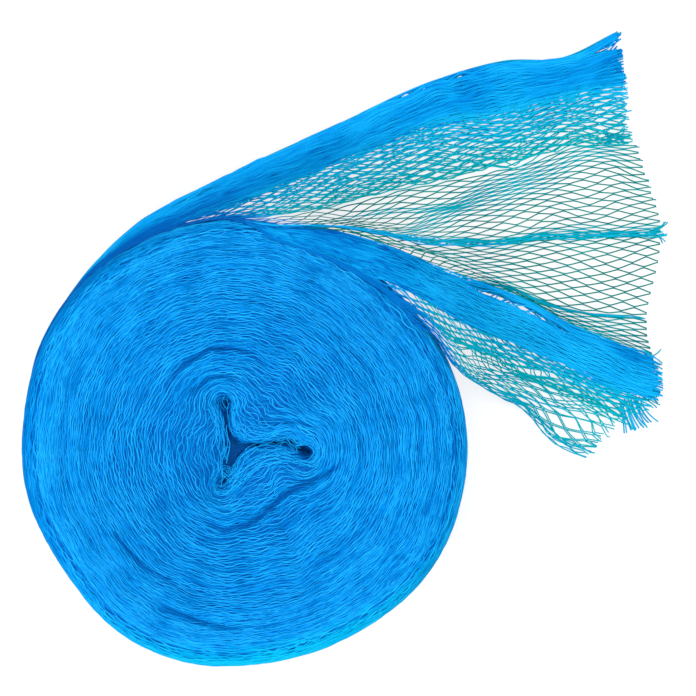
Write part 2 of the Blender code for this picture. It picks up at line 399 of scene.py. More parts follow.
LONG_LOBE = (HollowPoint(0.3, -0.6, 3.5), HollowPoint(8.5, 1.6, 0.8), HollowPoint(17.9, 2.6, 0.1),
             HollowPoint(24, 3.4, 0.5), HollowPoint(29.5, 4.2, 1.8), HollowPoint(33.5, 2.6, 1),
             HollowPoint(36.5, 0.6, 0.9), HollowPoint(40.2, -1.3, 1.9))
ROUND_LOBE = (HollowPoint(-0.5, 0, 2.4), HollowPoint(-1.8, 8, 0.25), HollowPoint(-2.8, 15.5, 0.12),
              HollowPoint(-3.4, 20.5, 0.6), HollowPoint(-3.8, 24.6, 2.3))
SHORT_LOBE = (HollowPoint(-0.8, -2, 3.5), HollowPoint(-1.8, -8, 2.9),
              HollowPoint(-3, -13.5, 1.6), HollowPoint(-5.6, -19, 0.3))


@dataclass(frozen=True)
class Trough:
    """Soft trough pressed into the upper face, where groups of turns part."""

    name: str
    points: Places
    depth: float
    half_width: float

    def at(self, places: Array) -> Array:
        """Depth at each place of the face.

        Args:
            places: Places on the upper face.

        Returns:
            The depths.
        """
        line = np.array(self.points)
        travelled = lengths_along(line) / lengths_along(line)[-1]
        nearest = np.full(places.shape[:-1], np.inf)
        depth = np.zeros(places.shape[:-1])
        for index in range(len(line) - 1):
            share, away = nearest_on(places, line[index], line[index + 1] - line[index])
            along = blend(travelled[index], travelled[index + 1], share)
            fade = np.sqrt(np.clip(np.sin(math.pi * along), 0.0, 1.0))
            here = self.depth * fade * np.exp(-((away / self.half_width) ** 2))
            depth = np.where(away < nearest, here, depth)
            nearest = np.minimum(nearest, away)
        return depth


TROUGHS = (
    Trough("under the long lobe", ((53.8, -7.6), (51.1, -12.4), (40.3, -18.4), (26.8, -24.9),
        (18.7, -30.8), (11.6, -37.9), (2.4, -43.8), (-10, -46.5), (-21, -43)), 3, 1.5),
    Trough("over the round lobe", ((-27.5, 26), (-26.2, 28.7), (-18.7, 35.7), (-10, 36.8),
        (-2.5, 33.5)), 2.4, 1.1),
    Trough("beyond the round lobe", ((-41, 30), (-38.7, 35.2), (-30.6, 43.8), (-18.1, 51.4),
        (-5.7, 51.4), (8, 49)), 2.6, 1.4),
    Trough("lower left", ((-70, -47), (-61.9, -57.9), (-51.1, -67.6), (-34.7, -77.2)), 1.8, 1.5),
    Trough("lower rim", ((-44, -87.3), (-38.7, -90.3), (-18.1, -97.9), (0, -100)), 1.8, 1.5),
    Trough("above the long lobe", ((5, 14), (18, 12.5), (30, 12), (40, 7)), 2, 1.3),
    Trough("beside the lower bunch", ((20, 110), (30.8, 108), (51.4, 99.5), (69.3, 87.5), (85.1, 70),
        (98.1, 51), (104, 38)), 1.2, 4.5),
    Trough("right side", ((92, 26), (96, 8), (95, -12), (89, -30)), 0.9, 1.5),
)


@dataclass
class WoundField:
    """Where each turn runs on the upper face: 0 at the core hollow and 1 at the rim."""

    outline: Outline
    side: SideProfile
    core: Pair = (-6.2, -3.0)
    ray_reach: float = 150.0
    ray_step: float = 0.25
    heights: Places = (
        (-0.02, 40.0), (0.0, 46.0), (0.04, 55.0), (0.10, 59.6), (0.18, 62.4), (0.26, 62.6),
        (0.34, 64.0), (0.42, 63.6), (0.51, 64.4), (0.60, 63.4), (0.69, 64.0), (0.78, 62.9),
        (0.86, 63.3), (0.94, 62.0), (1.0, 60.8), (1.05, 58.6),
    )
    swell: float = 0.5
    swell_turns: float = 4.0
    bumps: float = 0.45
    unevenness: Ripple = Ripple(seed=11, shortest=22.0, longest=60.0)
    core_ease: float = 0.12
    rim_ease: float = 0.06
    rounding: float = 0.7
    rounding_growth: float = 0.42

    def __post_init__(self) -> None:
        """Read the field along rays from the middle of the core."""
        angles = [np.arange(0.0, 360.0, 0.5)]
        steps = np.geomspace(0.03, 24.0, 46)
        for spot in LONG_LOBE[1:] + ROUND_LOBE[1:] + SHORT_LOBE[1:]:
            towards = math.degrees(math.atan2(spot.y, spot.x))
            angles += [towards + steps, towards - steps, np.array([towards])]
        start = 180.0
        self.angles = np.unique(np.round(np.mod(np.concatenate(angles) - start, 360.0), 4)) + start
        self.rays = np.stack([np.cos(np.radians(self.angles)), np.sin(np.radians(self.angles))], 1)
        self.reach = np.arange(0.0, self.ray_reach, self.ray_step)
        places = self.rays[:, None, :] * self.reach[None, :, None]
        places += np.array(self.core)
        self.shares = np.maximum.accumulate(self.share(places), axis=1)
        self.shares += np.arange(len(self.reach)) * 1e-9

    def hollow_distance(self, places: Array) -> Array:
        """Distance of each place from the core hollow's edge.

        Args:
            places: Places on the upper face.

        Returns:
            The distances, below zero in the hollow.
        """
        about = places - np.array(self.core)
        found = []
        for lobe in (LONG_LOBE, ROUND_LOBE, SHORT_LOBE):
            nearest = np.full(about.shape[:-1], np.inf)
            for one, two in zip(lobe, lobe[1:]):
                start = np.array([one.x, one.y])
                share, away = nearest_on(about, start, np.array([two.x, two.y]) - start)
                away -= blend(one.half_width, two.half_width, share)
                nearest = np.minimum(nearest, away)
            found.append(nearest)
        found = np.stack(found)
        least = found.min(axis=0)
        soft = self.rounding + self.rounding_growth * np.maximum(least, 0.0)
        return least - soft * np.log(np.exp(-(found - least) / soft).sum(axis=0))

    def share(self, places: Array) -> Array:
        """Share of the way from the core hollow to the rim, at each place.

        Args:
            places: Places on the upper face.

        Returns:
            The shares, below zero in the hollow.
        """
        inner = self.hollow_distance(places)
        outer = self.outline.inset(places) - self.side.rim_inset
        return inner / np.maximum(inner + outer, 1.0)

    def radii(self, ray: int, levels: Array) -> Array:
        """Distance from the core's middle to some levels along one ray."""
        return np.interp(levels, self.shares[ray], self.reach)

    def spiral(self, turns: int, first: float, last: float) -> Array:
        """Points of a spiral that winds outwards from one level to another.

        Args:
            turns: Number of turns.
            first: Level of its start.
            last: Level of its end.

        Returns:
            The points, without their heights.
        """
        travelled = (self.angles - self.angles[0]) / 360.0
        rows = np.arange(turns)
        reach = np.stack([
            self.radii(ray, blend(first, last, (rows + travelled[ray]) / turns))
            for ray in range(len(self.angles))
        ], axis=1)
        points = reach[..., None] * self.rays[None] + np.array(self.core)
        return points.reshape(-1, 2)

    def ring(self, level: float, count: int) -> Array:
        """Evenly spaced points of the closed turn at one level.

        Args:
            level: The level.
            count: Number of points.

        Returns:
            The points, without their heights.
        """
        reach = np.array([self.radii(ray, np.array([level]))[0] for ray in range(len(self.angles))])
        points = reach[:, None] * self.rays + np.array(self.core)
        points = np.concatenate([points, points[:1]])
        along = lengths_along(points)
        return read_along(points, along, np.linspace(0.0, along[-1], count, endpoint=False))

    def trough_depth(self, places: Array) -> Array:
        """Depth of all the troughs at each place."""
        return sum(trough.at(places) for trough in TROUGHS)

    def height(self, places: Array) -> Array:
        """Height of the upper face at each place.

        Args:
            places: Places on the upper face.

        Returns:
            The heights.
        """
        share = self.share(places)
        knots, heights = np.array(self.heights).T
        height = smooth_curve(np.clip(share, knots[0], knots[-1]), knots, heights)
        free = ease(share / self.core_ease) * ease((1.0 - share) / self.rim_ease)
        phase = math.tau * self.swell_turns * (1.0 - share) + direction(places)
        height += free * self.swell * np.cos(phase)
        height += free * self.bumps * self.unevenness.at(places[..., 0], places[..., 1])
        return height - self.trough_depth(places)


@dataclass
class WoundBody:
    """Inner body of the roll, under its visible strands."""

    wound: WoundField
    columns: int = 300
    face_rows: int = 60
    side_rows: int = 16
    under_rows: int = 7
    sunk: float = 0.8
    throat_top: float = 45.0
    bed: float = 43.0
    pits: Places = ((-3.8, 24.6), (40.4, -1.2))
    pit_depth: float = 30.0
    pit_width: float = 4.5
    dimple: float = 3.0
    bed_shares: tuple[float, ...] = (0.04, 0.2, 0.35, 0.5, 0.62, 0.72, 0.82, 0.92, 1.0)
    # Painted shade: down the core hollow from this height over the next span, and in the troughs.
    core_shade_top: float = 52.0
    core_shade_span: float = 24.0
    painted_trough_shade: float = 0.35
    deepest: float = 3.0

    def bed_height(self, places: Array) -> Array:
        """Height of the bottom of the core hollow: deep at the ends of its lobes.

        Args:
            places: Places in the hollow.

        Returns:
            The heights.
        """
        about = places - np.array(self.wound.core)
        away = [np.linalg.norm(about - np.array(pit), axis=1) for pit in self.pits]
        nearest = np.min(away, axis=0)
        return self.bed - self.pit_depth * np.exp(-((nearest / self.pit_width) ** 2))

    def rings(self) -> list[Array]:
        """Closed rows of points, from the bottom of the hollow over the rim and underneath.

        Returns:
            The rows, each with as many points.
        """
        place = self.wound
        core = place.ring(0.0, self.columns)
        middle = np.array(place.core)
        rows = []
        for share in self.bed_shares:
            inner = blend(middle, core, share)
            rows.append(np.column_stack([inner, self.bed_height(inner)]))
        rows.append(np.column_stack([core, (rows[-1][:, 2] + self.throat_top) / 2.0]))
        rows.append(np.column_stack([core, np.full(len(core), self.throat_top)]))
        for level in np.linspace(0.004, 1.0, self.face_rows):
            ring = place.ring(level, self.columns)
            sunk = self.sunk * float(ease(np.array(level / 0.05)))
            rows.append(np.column_stack([ring, place.height(ring) - sunk]))
        angle = direction(rows[-1])
        radius = place.outline.radius(np.degrees(angle))
        for distance in np.linspace(0.0, place.side.length, self.side_rows)[1:]:
            inset, height = place.side.from_rim(np.array(distance))
            out = radius - inset - self.sunk * float(height > 0.5)
            rows.append(round_the_axis(out, angle, np.full(len(out), max(float(height), 0.0))))
        ground = rows[-1][:, :2]
        for share in np.linspace(0.0, 1.0, self.under_rows + 2)[1:]:
            rows.append(np.column_stack([blend(ground, core, share), np.zeros(len(core))]))
        for share in (0.9, self.bed_shares[0]):
            inner = blend(middle, core, share)
            rows.append(np.column_stack([inner, np.full(len(core), self.dimple)]))
        return rows

    def build(self, material: Material) -> Piece:
        """Loft the rows into one closed body.

        Args:
            material: Its finish.

        Returns:
            The new piece.
        """
        rows = self.rings()
        count = len(rows)
        row = np.arange(count - 1)[:, None]
        column = np.arange(self.columns)[None, :]
        following = (column + 1) % self.columns
        faces = np.stack(np.broadcast_arrays(
            row * self.columns + column, (row + 1) * self.columns + column,
            (row + 1) * self.columns + following, row * self.columns + following), -1)
        first = list(range(self.columns))
        caps = [first, [(count - 1) * self.columns + place for place in first[::-1]]]
        mesh = bpy.data.meshes.new("wound_body")
        points = np.concatenate(rows)
        mesh.from_pydata(in_place(points), [], faces.reshape(-1, 4).tolist() + caps)
        write_bake_map(mesh, map_corners(column / self.columns, (column + 1) / self.columns,
                                         row / (count - 1), (row + 1) / (count - 1)))
        # Painted shade: the body takes the hollow colour in the troughs, and more of it deeper down the
        # core hollow.
        low = np.clip(self.wound.trough_depth(points[:, :2]) / self.deepest, 0.0, 1.0)
        in_core = self.wound.share(points[:, :2]) < 0.01
        core = np.where(in_core, (self.core_shade_top - points[:, 2]) / self.core_shade_span, 0.0)
        write_values(mesh, "trough", np.maximum(self.painted_trough_shade * low, core))
        return new_piece(mesh, material)


# ---- strands wound on the body
@dataclass
class SurfacePath:
    """Middle line of a band of net wound on a surface."""

    points: Array
    across: Array
    up: Array
    pitch: Array
    run: Array


@dataclass(frozen=True)
class Changes:
    """Distances along a wound strand over which its random changes come and go."""

    mesh: float = 60.0
    swing: float = 13.0
    stray: float = 17.0
    fine_stray: float = 6.0
    hop: float = 8.0
    # Spacing of the painted dark dashes.
    dip: float = 4.2
    tone: float = 40.0


CHANGES = Changes()


@dataclass(frozen=True)
class StrandLayer:
    """Band of net wound turn after turn.

    Attributes:
        turns: Number of turns.
        strands: Strands side by side in the band.
        lift: Height of the strands above the surface.
        mesh_length: Length of one closed mesh.
        swing: How far strands swing towards each other: 1 is touching.
        stray: How far a strand strays from its own place, in strand spacings.
        hop: How far a strand rises and falls.
        shade: Lightness of the strands, from 0 deep to 1 pale; the lower layer gets less, as painted
            shade.
        dash_shade: How dark the short dashes of painted shade get, standing for strands lying in shade
            between others.
    """

    turns: int
    strands: int
    radius: float
    lift: float
    mesh_length: float
    swing: float
    stray: float
    hop: float
    shade: float
    dash_shade: float
    seed: int

    def wind(self, strands: StrandMesh, path: SurfacePath, wound: WoundField, on_face: bool) -> None:
        """Lay the band along its path.

        Args:
            strands: Mesh that takes the strands.
            path: Middle line of the band.
            wound: Where the turns run.
            on_face: True on the upper face, where strands settle to its height.
        """
        rng = np.random.default_rng(self.seed)
        length = self.mesh_length * (1.0 + 0.30 * drift(rng, 1, path.run, CHANGES.mesh)[0])
        steps = np.diff(path.run, prepend=0.0)
        phase = math.tau * np.cumsum(steps / length)
        swing = self.swing * (0.62 + 0.60 * drift(rng, self.strands, path.run, CHANGES.swing))
        stray = self.stray * drift(rng, self.strands, path.run, CHANGES.stray)
        stray += 0.7 * self.stray * drift(rng, self.strands, path.run, CHANGES.fine_stray)
        if on_face:
            stray *= 1.0 + np.exp(-wound.share(path.points[:, :2]) / wound.core_ease)
        hop = drift(rng, self.strands, path.run, CHANGES.hop)
        # Short dark dashes of painted shade along each strand, standing for strands lying in shade
        # between others.
        dark_dashes = ease((drift(rng, self.strands, path.run, CHANGES.dip) - 0.30) / 0.45)
        tone = drift(rng, self.strands, path.run, CHANGES.tone)
        for index in range(self.strands):
            own = (index + 0.5) / self.strands - 0.5
            side = 1.0 if index % 2 else -1.0
            wave = np.clip(1.3 * np.sin(phase), -1.0, 1.0) * swing[index]
            offset = own + (0.5 * side * wave + stray[index]) / self.strands
            points = path.points + path.across * (offset * path.pitch)[:, None]
            if on_face:
                points[:, 2] = wound.height(points[:, :2])
            points = points + path.up * (self.lift + self.hop * hop[index])[:, None]
            points[:, 2] = np.maximum(points[:, 2], self.radius)
            # Painted shade and light: raised strands lighter, the dark dashes darker; tone varies at
            # random.
            shade = self.shade + 0.22 * hop[index] + 0.15 * tone[index] - self.dash_shade * dark_dashes[index]
            shade = shade + 0.11 * PATCHES.at(points[:, 0], points[:, 1] + points[:, 2])
            if on_face:
                # Painted shade in the troughs, and darker still towards the core hollow.
                shade = shade - 0.26 * wound.trough_depth(points[:, :2])
                shade *= 0.1 + 0.9 * ease((wound.share(points[:, :2]) + 0.002) / 0.035)
            # Painted shade on the rim behind, and the painted rim glow at the front through the open
            # share.
            shade = shade * (1.0 - RIM_GLOW.dulled(points, wound.outline))
            strands.add(points, path.up, self.radius, shade=np.clip(shade, 0.0, 1.0),
                        tone=tone[index], open=RIM_GLOW.at(points, wound.outline))


@dataclass(frozen=True)
class RimGlow:
    """Painted light of the outer turns: a painted glow at the front, where light comes through the thin
    turns, and painted shade behind.
    """

    towards: float = -78.0
    spread: float = 75.0
    width: float = 12.0
    most: float = 0.60
    frayed: float = 2.5
    dull_towards: float = 165.0
    dull_spread: float = 50.0
    dull_width: float = 3.4
    dull_above: float = 20.0
    dullest: float = 0.48
    ragged: Ripple = Ripple(seed=15, shortest=4.0, longest=16.0)

    @staticmethod
    def turned_from(points: Array, towards: float) -> Array:
        """Angle in degrees between the direction of each point and another direction."""
        angle = np.degrees(direction(points))
        return np.abs(np.mod(angle - towards + 180.0, 360.0) - 180.0)

    def at(self, points: Array, outline: Outline) -> Array:
        """Share of the thin colour, the painted glow, at each point.

        Args:
            points: Points of a strand.
            outline: Outer edge of the roll.

        Returns:
            The shares.
        """
        off = self.turned_from(points, self.towards) / self.spread
        inset = outline.inset(points) + self.frayed * self.ragged.at(points[:, 0], points[:, 1])
        near = ease(1.35 - inset / (self.width * (1.0 - 0.6 * np.minimum(off, 1.0))))
        return self.most * near * ease(1.0 - off)

    def dulled(self, points: Array, outline: Outline) -> Array:
        """Share of their lightness that strands lose to painted shade at each point.

        Args:
            points: Points of a strand.
            outline: Outer edge of the roll.

        Returns:
            The shares.
        """
        off = self.turned_from(points, self.dull_towards) / self.dull_spread
        high = ease((points[:, 2] - self.dull_above) / self.dull_above)
        near = ease(1.6 - outline.inset(points) / self.dull_width) * high
        return self.dullest * near * ease(1.6 - off)


PATCHES = Ripple(seed=13, shortest=9.0, longest=48.0)
RIM_GLOW = RimGlow()


@dataclass
class WoundTurns:
    """Strands wound on part of the body, one layer of net over another."""

    wound: WoundField
    stem: str = "turns"
    on_face: bool = False
    step: float = 2.0
    layers: tuple[StrandLayer, ...] = ()

    def path(self, turns: int) -> SurfacePath:
        """Middle line of a layer that makes some turns."""
        raise NotImplementedError

    def build(self, material: Material) -> list[Piece]:
        """Wind each layer as a piece of its own.

        Args:
            material: Finish of the strands.

        Returns:
            The new pieces.
        """
        pieces = []
        for number, layer in enumerate(self.layers):
            strands = StrandMesh(f"{self.stem}_{number + 1}", Section.RIDGE)
            layer.wind(strands, self.path(layer.turns), self.wound, self.on_face)
            pieces.append(strands.build(material))
        return pieces


@dataclass
class FaceTurns(WoundTurns):
    """Strands wound on the upper face."""

    stem: str = "face_turns"
    on_face: bool = True
    step: float = 1.75
    core_step: float = 0.45
    core_span: float = 0.14
    first: float = 0.004
    last: float = 1.045
    roam: float = 0.9
    tangled: float = 0.40
    reach: float = 0.6
    # The lower layer is darker: painted shade under the upper layer.
    layers: tuple[StrandLayer, ...] = (
        StrandLayer(turns=30, strands=4, radius=0.38, lift=-0.30, mesh_length=9.5, swing=0.9,
                    stray=0.26, hop=0.24, shade=0.40, dash_shade=0.42, seed=21),
        StrandLayer(turns=32, strands=4, radius=0.21, lift=0.26, mesh_length=10.5, swing=1.0,
                    stray=0.42, hop=0.40, shade=0.78, dash_shade=0.24, seed=22),
    )
    sway: Ripple = Ripple(seed=14, shortest=14.0, longest=40.0)
    tangle: Ripple = Ripple(seed=16, shortest=4.5, longest=11.0)

    def path(self, turns: int) -> SurfacePath:
        """Spiral over the face, its points closer together near the core.

        Args:
            turns: Number of turns.

        Returns:
            The middle line of the band.
        """
        place = self.wound
        dense = place.spiral(turns, self.first, self.last)
        along = lengths_along(dense)
        grown = ease(place.share(dense) / self.core_span)
        step = self.step * blend(self.core_step, 1.0, grown)
        pace = np.concatenate([[0.0], np.cumsum(np.diff(along) / step[1:])])
        at = np.interp(np.arange(0.0, pace[-1]), pace, along)
        flat = read_along(dense, along, at)
        heading = unit(np.gradient(flat, axis=0))
        out = turned_outwards(heading)
        share = place.share(flat)
        free = self.roam * ease(share / 0.06) * ease((1.0 - share) / 0.05)
        push = free * self.sway.at(flat[:, 0], flat[:, 1])
        near = ease(share / 0.04) * np.exp(-((share / 0.20) ** 2))
        push += self.tangled * near * self.tangle.at(flat[:, 0], flat[:, 1])
        flat = flat + out * push[:, None]
        outer, inner = flat + self.reach * out, flat - self.reach * out
        slope = (place.share(outer) - place.share(inner)) / (2.0 * self.reach)
        gap = (self.last - self.first) / turns
        pitch = np.clip(gap / np.maximum(slope, 1e-4), 0.8, 7.0)
        points = np.column_stack([flat, place.height(flat)])
        across = np.column_stack([out, np.zeros(len(out))])
        rise = (place.height(outer) - place.height(inner)) / (2.0 * self.reach)
        up = unit(np.column_stack([-out * rise[:, None], np.ones(len(out))]))
        return SurfacePath(points, across, up, pitch, at)


@dataclass
class SideTurns(WoundTurns):
    """Strands wound on the side of the body."""

    stem: str = "side_turns"
    step: float = 2.3
    mean_radius: float = 122.0
    foot_clearance: float = 2.6
    reach: float = 0.5
    # The lower layer is darker: painted shade under the upper layer.
    layers: tuple[StrandLayer, ...] = (
        StrandLayer(turns=14, strands=3, radius=0.42, lift=-0.35, mesh_length=12.0, swing=1.0,
                    stray=0.22, hop=0.25, shade=0.38, dash_shade=0.35, seed=31),
        StrandLayer(turns=13, strands=3, radius=0.28, lift=0.20, mesh_length=13.0, swing=1.1,
                    stray=0.34, hop=0.35, shade=0.70, dash_shade=0.20, seed=32),
    )

    def path(self, turns: int) -> SurfacePath:
        """Helix down the side, from the rim to the ground.

        Args:
            turns: Number of turns.

        Returns:
            The middle line of the band.
        """
        place = self.wound
        end = place.side.length - self.foot_clearance
        count = int(turns * math.tau * self.mean_radius / self.step)
        turned = np.linspace(0.0, math.tau * turns, count)
        down = end * turned / turned[-1]
        radius = place.outline.radius(np.degrees(turned))
        spots = []
        for distance in (down - self.reach, down, down + self.reach):
            inset, height = place.side.from_rim(np.clip(distance, 0.0, place.side.length))
            spots.append(round_the_axis(radius - inset, turned, height))
        points = spots[1]
        across = unit(spots[2] - spots[0])
        up = unit(np.cross(across, unit(np.gradient(points, axis=0))))
        outward = round_the_axis(np.ones(count), turned, np.full(count, 0.3))
        up *= np.sign((up * outward).sum(axis=1))[:, None]
        return SurfacePath(points, across, up, np.full(count, end / turns), lengths_along(points))


@dataclass(frozen=True)
class ThreadGroup:
    """Loose threads that bridge part of the core hollow side by side.

    Attributes:
        line: Points of their middle line, about the core's middle.
        fan: Half the width of the group at its start and at its end.
        count: Number of threads.
    """

    name: str
    line: Places
    fan: Pair
    count: int


THREAD_GROUPS = (
    ThreadGroup("right of the round valley", ((-0.9, 27.1), (-1.2, 19.8), (-0.3, 12.5), (3.2, 6.9)),
        (1.8, 3.2), 4),
    ThreadGroup("left of the round valley", ((-8.8, 22.5), (-6.6, 13.5), (-6.3, 5.2), (-6, -4.5)),
        (2.8, 2.2), 4),
    ThreadGroup("down the round valley", ((-4.4, 18.3), (-4.6, 11.8), (-3.6, 7.4), (-3.4, 0.9),
        (-4.8, -8.4)), (2, 2.2), 4),
    ThreadGroup("loops in the round hole", ((-8.2, 22), (-6.9, 28), (-2.6, 27.4), (-1.8, 20.3)),
        (1.6, 1.6), 3),
    ThreadGroup("across the round hole", ((-5.4, 28.5), (-5.8, 24.4), (-3.6, 20)), (1.4, 1.4), 2),
    ThreadGroup("left of the round hole", ((-12.5, 24.9), (-9.4, 20.5), (-7.5, 13)), (3.6, 2.4), 6),
    ThreadGroup("left loops of the short lobe", ((-5.6, -15.4), (-6.2, -8.6), (-5, -2), (-3.6, 0.4),
        (-3.2, -6)), (1, 1.4), 4),
    ThreadGroup("loops across the short lobe", ((-9.2, -18.1), (-3.8, -12), (-0.9, -14.4), (3.4, -8.3)),
        (3.6, 2.8), 7),
    ThreadGroup("fan out of the short lobe", ((-4.8, -18.1), (1, -11.7), (5.6, -4.2), (13.7, 1.6)),
        (3.6, 1.6), 6),
    ThreadGroup("fan below the long lobe", ((2, -17.6), (9.8, -9.6), (21, -4.2), (33.6, -5.2)),
        (4.6, 3.6), 8),
    ThreadGroup("lower edge of the long lobe", ((5, -5.5), (12.7, 0.2), (23.1, 0.6), (34.8, -3.7)),
        (2.2, 2.6), 6),
    ThreadGroup("upper edge of the long lobe", ((1.4, 10.2), (9.3, 5.6), (18.1, 5), (25.3, 8.4)),
        (2.4, 2.4), 6),
    ThreadGroup("round the corner above the middle", ((-0.9, 15), (4.5, 9.6), (11.8, 7.4), (18.1, 9)),
        (2.8, 2.6), 4),
    ThreadGroup("above the long lobe", ((7.6, 15.5), (13.7, 12.8), (21, 12.1), (28.8, 12.5)),
        (3.2, 2.6), 4),
    ThreadGroup("over the second hollow", ((21.4, 6.4), (28.3, 7.8), (34.1, 5.2), (39.2, 1)),
        (2.6, 1.4), 7),
    ThreadGroup("across the second hollow", ((24.3, 2.6), (29, 5.2), (32.6, 1.8), (36.6, -2)),
        (2.4, 1.4), 5),
    ThreadGroup("round the long lobe's tip", ((34.5, 1.8), (42.1, 2.8), (45.9, -2), (42.1, -6.5),
        (34, -6.2)), (1.2, 1.6), 5),
    ThreadGroup("foot of the short lobe", ((-9.6, -21.7), (-5.2, -22.4), (-0.9, -20.2), (5, -15.1)),
        (2.4, 3.4), 7),
)


@dataclass
class CoreThreads:
    """Loose threads that bridge the core hollow, and rings of thread down its throat."""

    wound: WoundField
    radius: float = 0.17
    wave: float = 0.75
    seed: int = 41
    stations: int = 21
    bridge_height: float = 54.0
    throat_rings: tuple[float, ...] = (44.5, 42.5, 40.0, 37.0, 33.5, 29.5, 25.0, 20.0)
    throat_points: int = 160

    def build(self, material: Material) -> Piece:
        """Lay the threads.

        Args:
            material: Their finish.

        Returns:
            The new piece.
        """
        rng = np.random.default_rng(self.seed)
        strands = StrandMesh("core_threads", Section.LOW, row_segments=60)
        ring = self.wound.ring(0.001, self.throat_points)
        ring = np.concatenate([ring, ring[:1]])
        for height in self.throat_rings:
            level = height + 1.2 * drift(rng, 1, np.arange(len(ring)), 7.0)[0]
            points = np.column_stack([ring, level])
            out = unit(np.column_stack([ring, np.ones(len(ring))]))
            # Painted shade: rings deeper down the throat are darker.
            shade = 0.30 * ease(np.array((height - 24.0) / 22.0))
            strands.add(points, out, self.radius, shade=shade, tone=0.0, open=0.0)
        for group in THREAD_GROUPS:
            for number in range(group.count):
                self.bridge(strands, rng, group, number)
        return strands.build(material)

    def bridge(self, strands: StrandMesh, rng: Draws, group: ThreadGroup, number: int) -> None:
        """Lay one bridging thread of a group.

        Args:
            strands: Mesh that takes it.
            rng: Random draws.
            group: Group that it belongs to.
            number: Which of the group's threads.
        """
        place = self.wound
        line = np.array(group.line)
        along = lengths_along(line)
        start, end = np.sort(rng.uniform(0.0, 1.0, 2)) * 0.25 + np.array([0.0, 0.75])
        t = np.linspace(start, end, self.stations)
        flat = curve_through(line, along, t * along[-1])
        heading = unit(np.gradient(flat, axis=0))
        side = 2.0 * (number + rng.uniform(0.1, 0.9)) / group.count - 1.0
        flat += turned_outwards(heading) * (side * blend(*group.fan, t))[:, None]
        flat += self.wave * drift(rng, 2, np.arange(self.stations), 3.2).T
        flat += np.array(place.core)
        ground = place.height(flat) + 0.5 + rng.uniform(0.0, 0.5)
        bridge = self.bridge_height + rng.uniform(-4.0, 2.5) - 1.5 * np.sin(math.pi * t)
        level = np.maximum(ground, bridge)
        # Painted shade: lower threads are darker; the rest varies at random.
        shade = 0.78 + 0.20 * rng.uniform(-1.0, 1.0) + 0.02 * (level - 55.0)
        points = np.column_stack([flat, level])
        up = np.tile([0.0, 0.0, 1.0], (self.stations, 1))
        strands.add(points, up, self.radius, shade=np.clip(shade, 0.3, 1.0), tone=0.0, open=0.0)


# ---- loose end
@dataclass(frozen=True)
class Fold:
    """Fold of the loose end.

    Attributes:
        wall_from: Place on the roll's side where it starts: 0 is the ground and 1 the rim.
        wall_to: Place on the side that it climbs to.
        climbs_at: Direction in degrees where it starts to climb.
        leaves_at: Direction where it leaves the roll.
        sag: How far the net beyond it drops, as a share: a negative sag stands proud.
        points: Its points on to the cut edge, about the frame's origin.
        wall_end: Place on the side where it leaves the roll, if lower than where it climbs to.
    """

    name: str
    wall_from: float
    wall_to: float
    climbs_at: float
    leaves_at: float
    sag: float
    points: tuple[tuple[float, float, float], ...]
    wall_end: float | None = None


FOLDS = (
    Fold("outer edge", 0.08, 0.36, 166, 143, -0.35, ((-114, 69, 26), (-73, 91.5, 20), (-4, 124, 12),
        (46.5, 147, 8), (89, 159, 7), (117, 160, 7), (150.5, 175.5, 4))),
    Fold("lower edge of the upper bunch", 0.24, 0.58, 158, 130, 0.2, ((-82, 68, 30), (-48, 82.5, 18),
        (-4, 104, 9), (51, 127, 7), (84, 133, 6), (122, 142, 5.5), (156, 147, 3.5))),
    Fold("edge of the close net", 0.34, 0.60, 138, 108, 0.75, ((-46, 71, 37), (-24, 74.6, 24),
        (-4, 79.8, 13), (46, 92, 4.5), (76, 100, 3), (103, 106, 3), (122, 113, 3), (160, 113.5, 2))),
    Fold("rope fold", 0.38, 0.85, 108, 84, 0.8, ((-4, 66, 48), (21, 62.5, 29), (46, 58, 13),
        (84, 58.5, 6), (109, 62, 5), (147, 63, 5), (174, 64.5, 4))),
    Fold("small fold", 0.42, 0.88, 107, 83, 0.7, ((-1, 63.6, 47), (22, 57.6, 33), (50, 51, 15),
        (88, 37, 4), (118, 23, 3), (140, 18.5, 3), (166, 16.5, 2))),
    Fold("upper edge of the lower bunch", 0.46, 0.91, 105, 82, -0.25, ((-18, 65.6, 51), (2, 61.7, 46),
        (28, 52.6, 37), (46, 44.5, 28), (71, 35, 15), (97, 26, 9), (122, 12, 8), (147, 2, 7),
        (170.5, -8, 4))),
    Fold("lower edge of the lower bunch", 0.50, 0.96, 104, 54, 0.1, ((34, 31, 50), (46, 24, 40),
        (60, 16.5, 28), (97, 2, 10), (122, -8, 8), (147, -20, 6), (172, -27.5, 3.5)), 0.87),
    Fold("tufted net", 0.54, 0.97, 103, 42, 0.4, ((42, 18, 52), (54, 7, 40), (68, -1, 25), (96, -13, 6),
        (124, -25, 4), (154, -40, 2.5)), 0.88),
    Fold("fringe edge", 0.58, 0.98, 102, 31, 0, ((47, 7, 54), (54.6, -5, 51), (69.2, -18.4, 28),
        (84, -27, 11), (96, -33, 4), (116, -54, 2), (134.5, -61.5, 1.4)), 0.88),
)


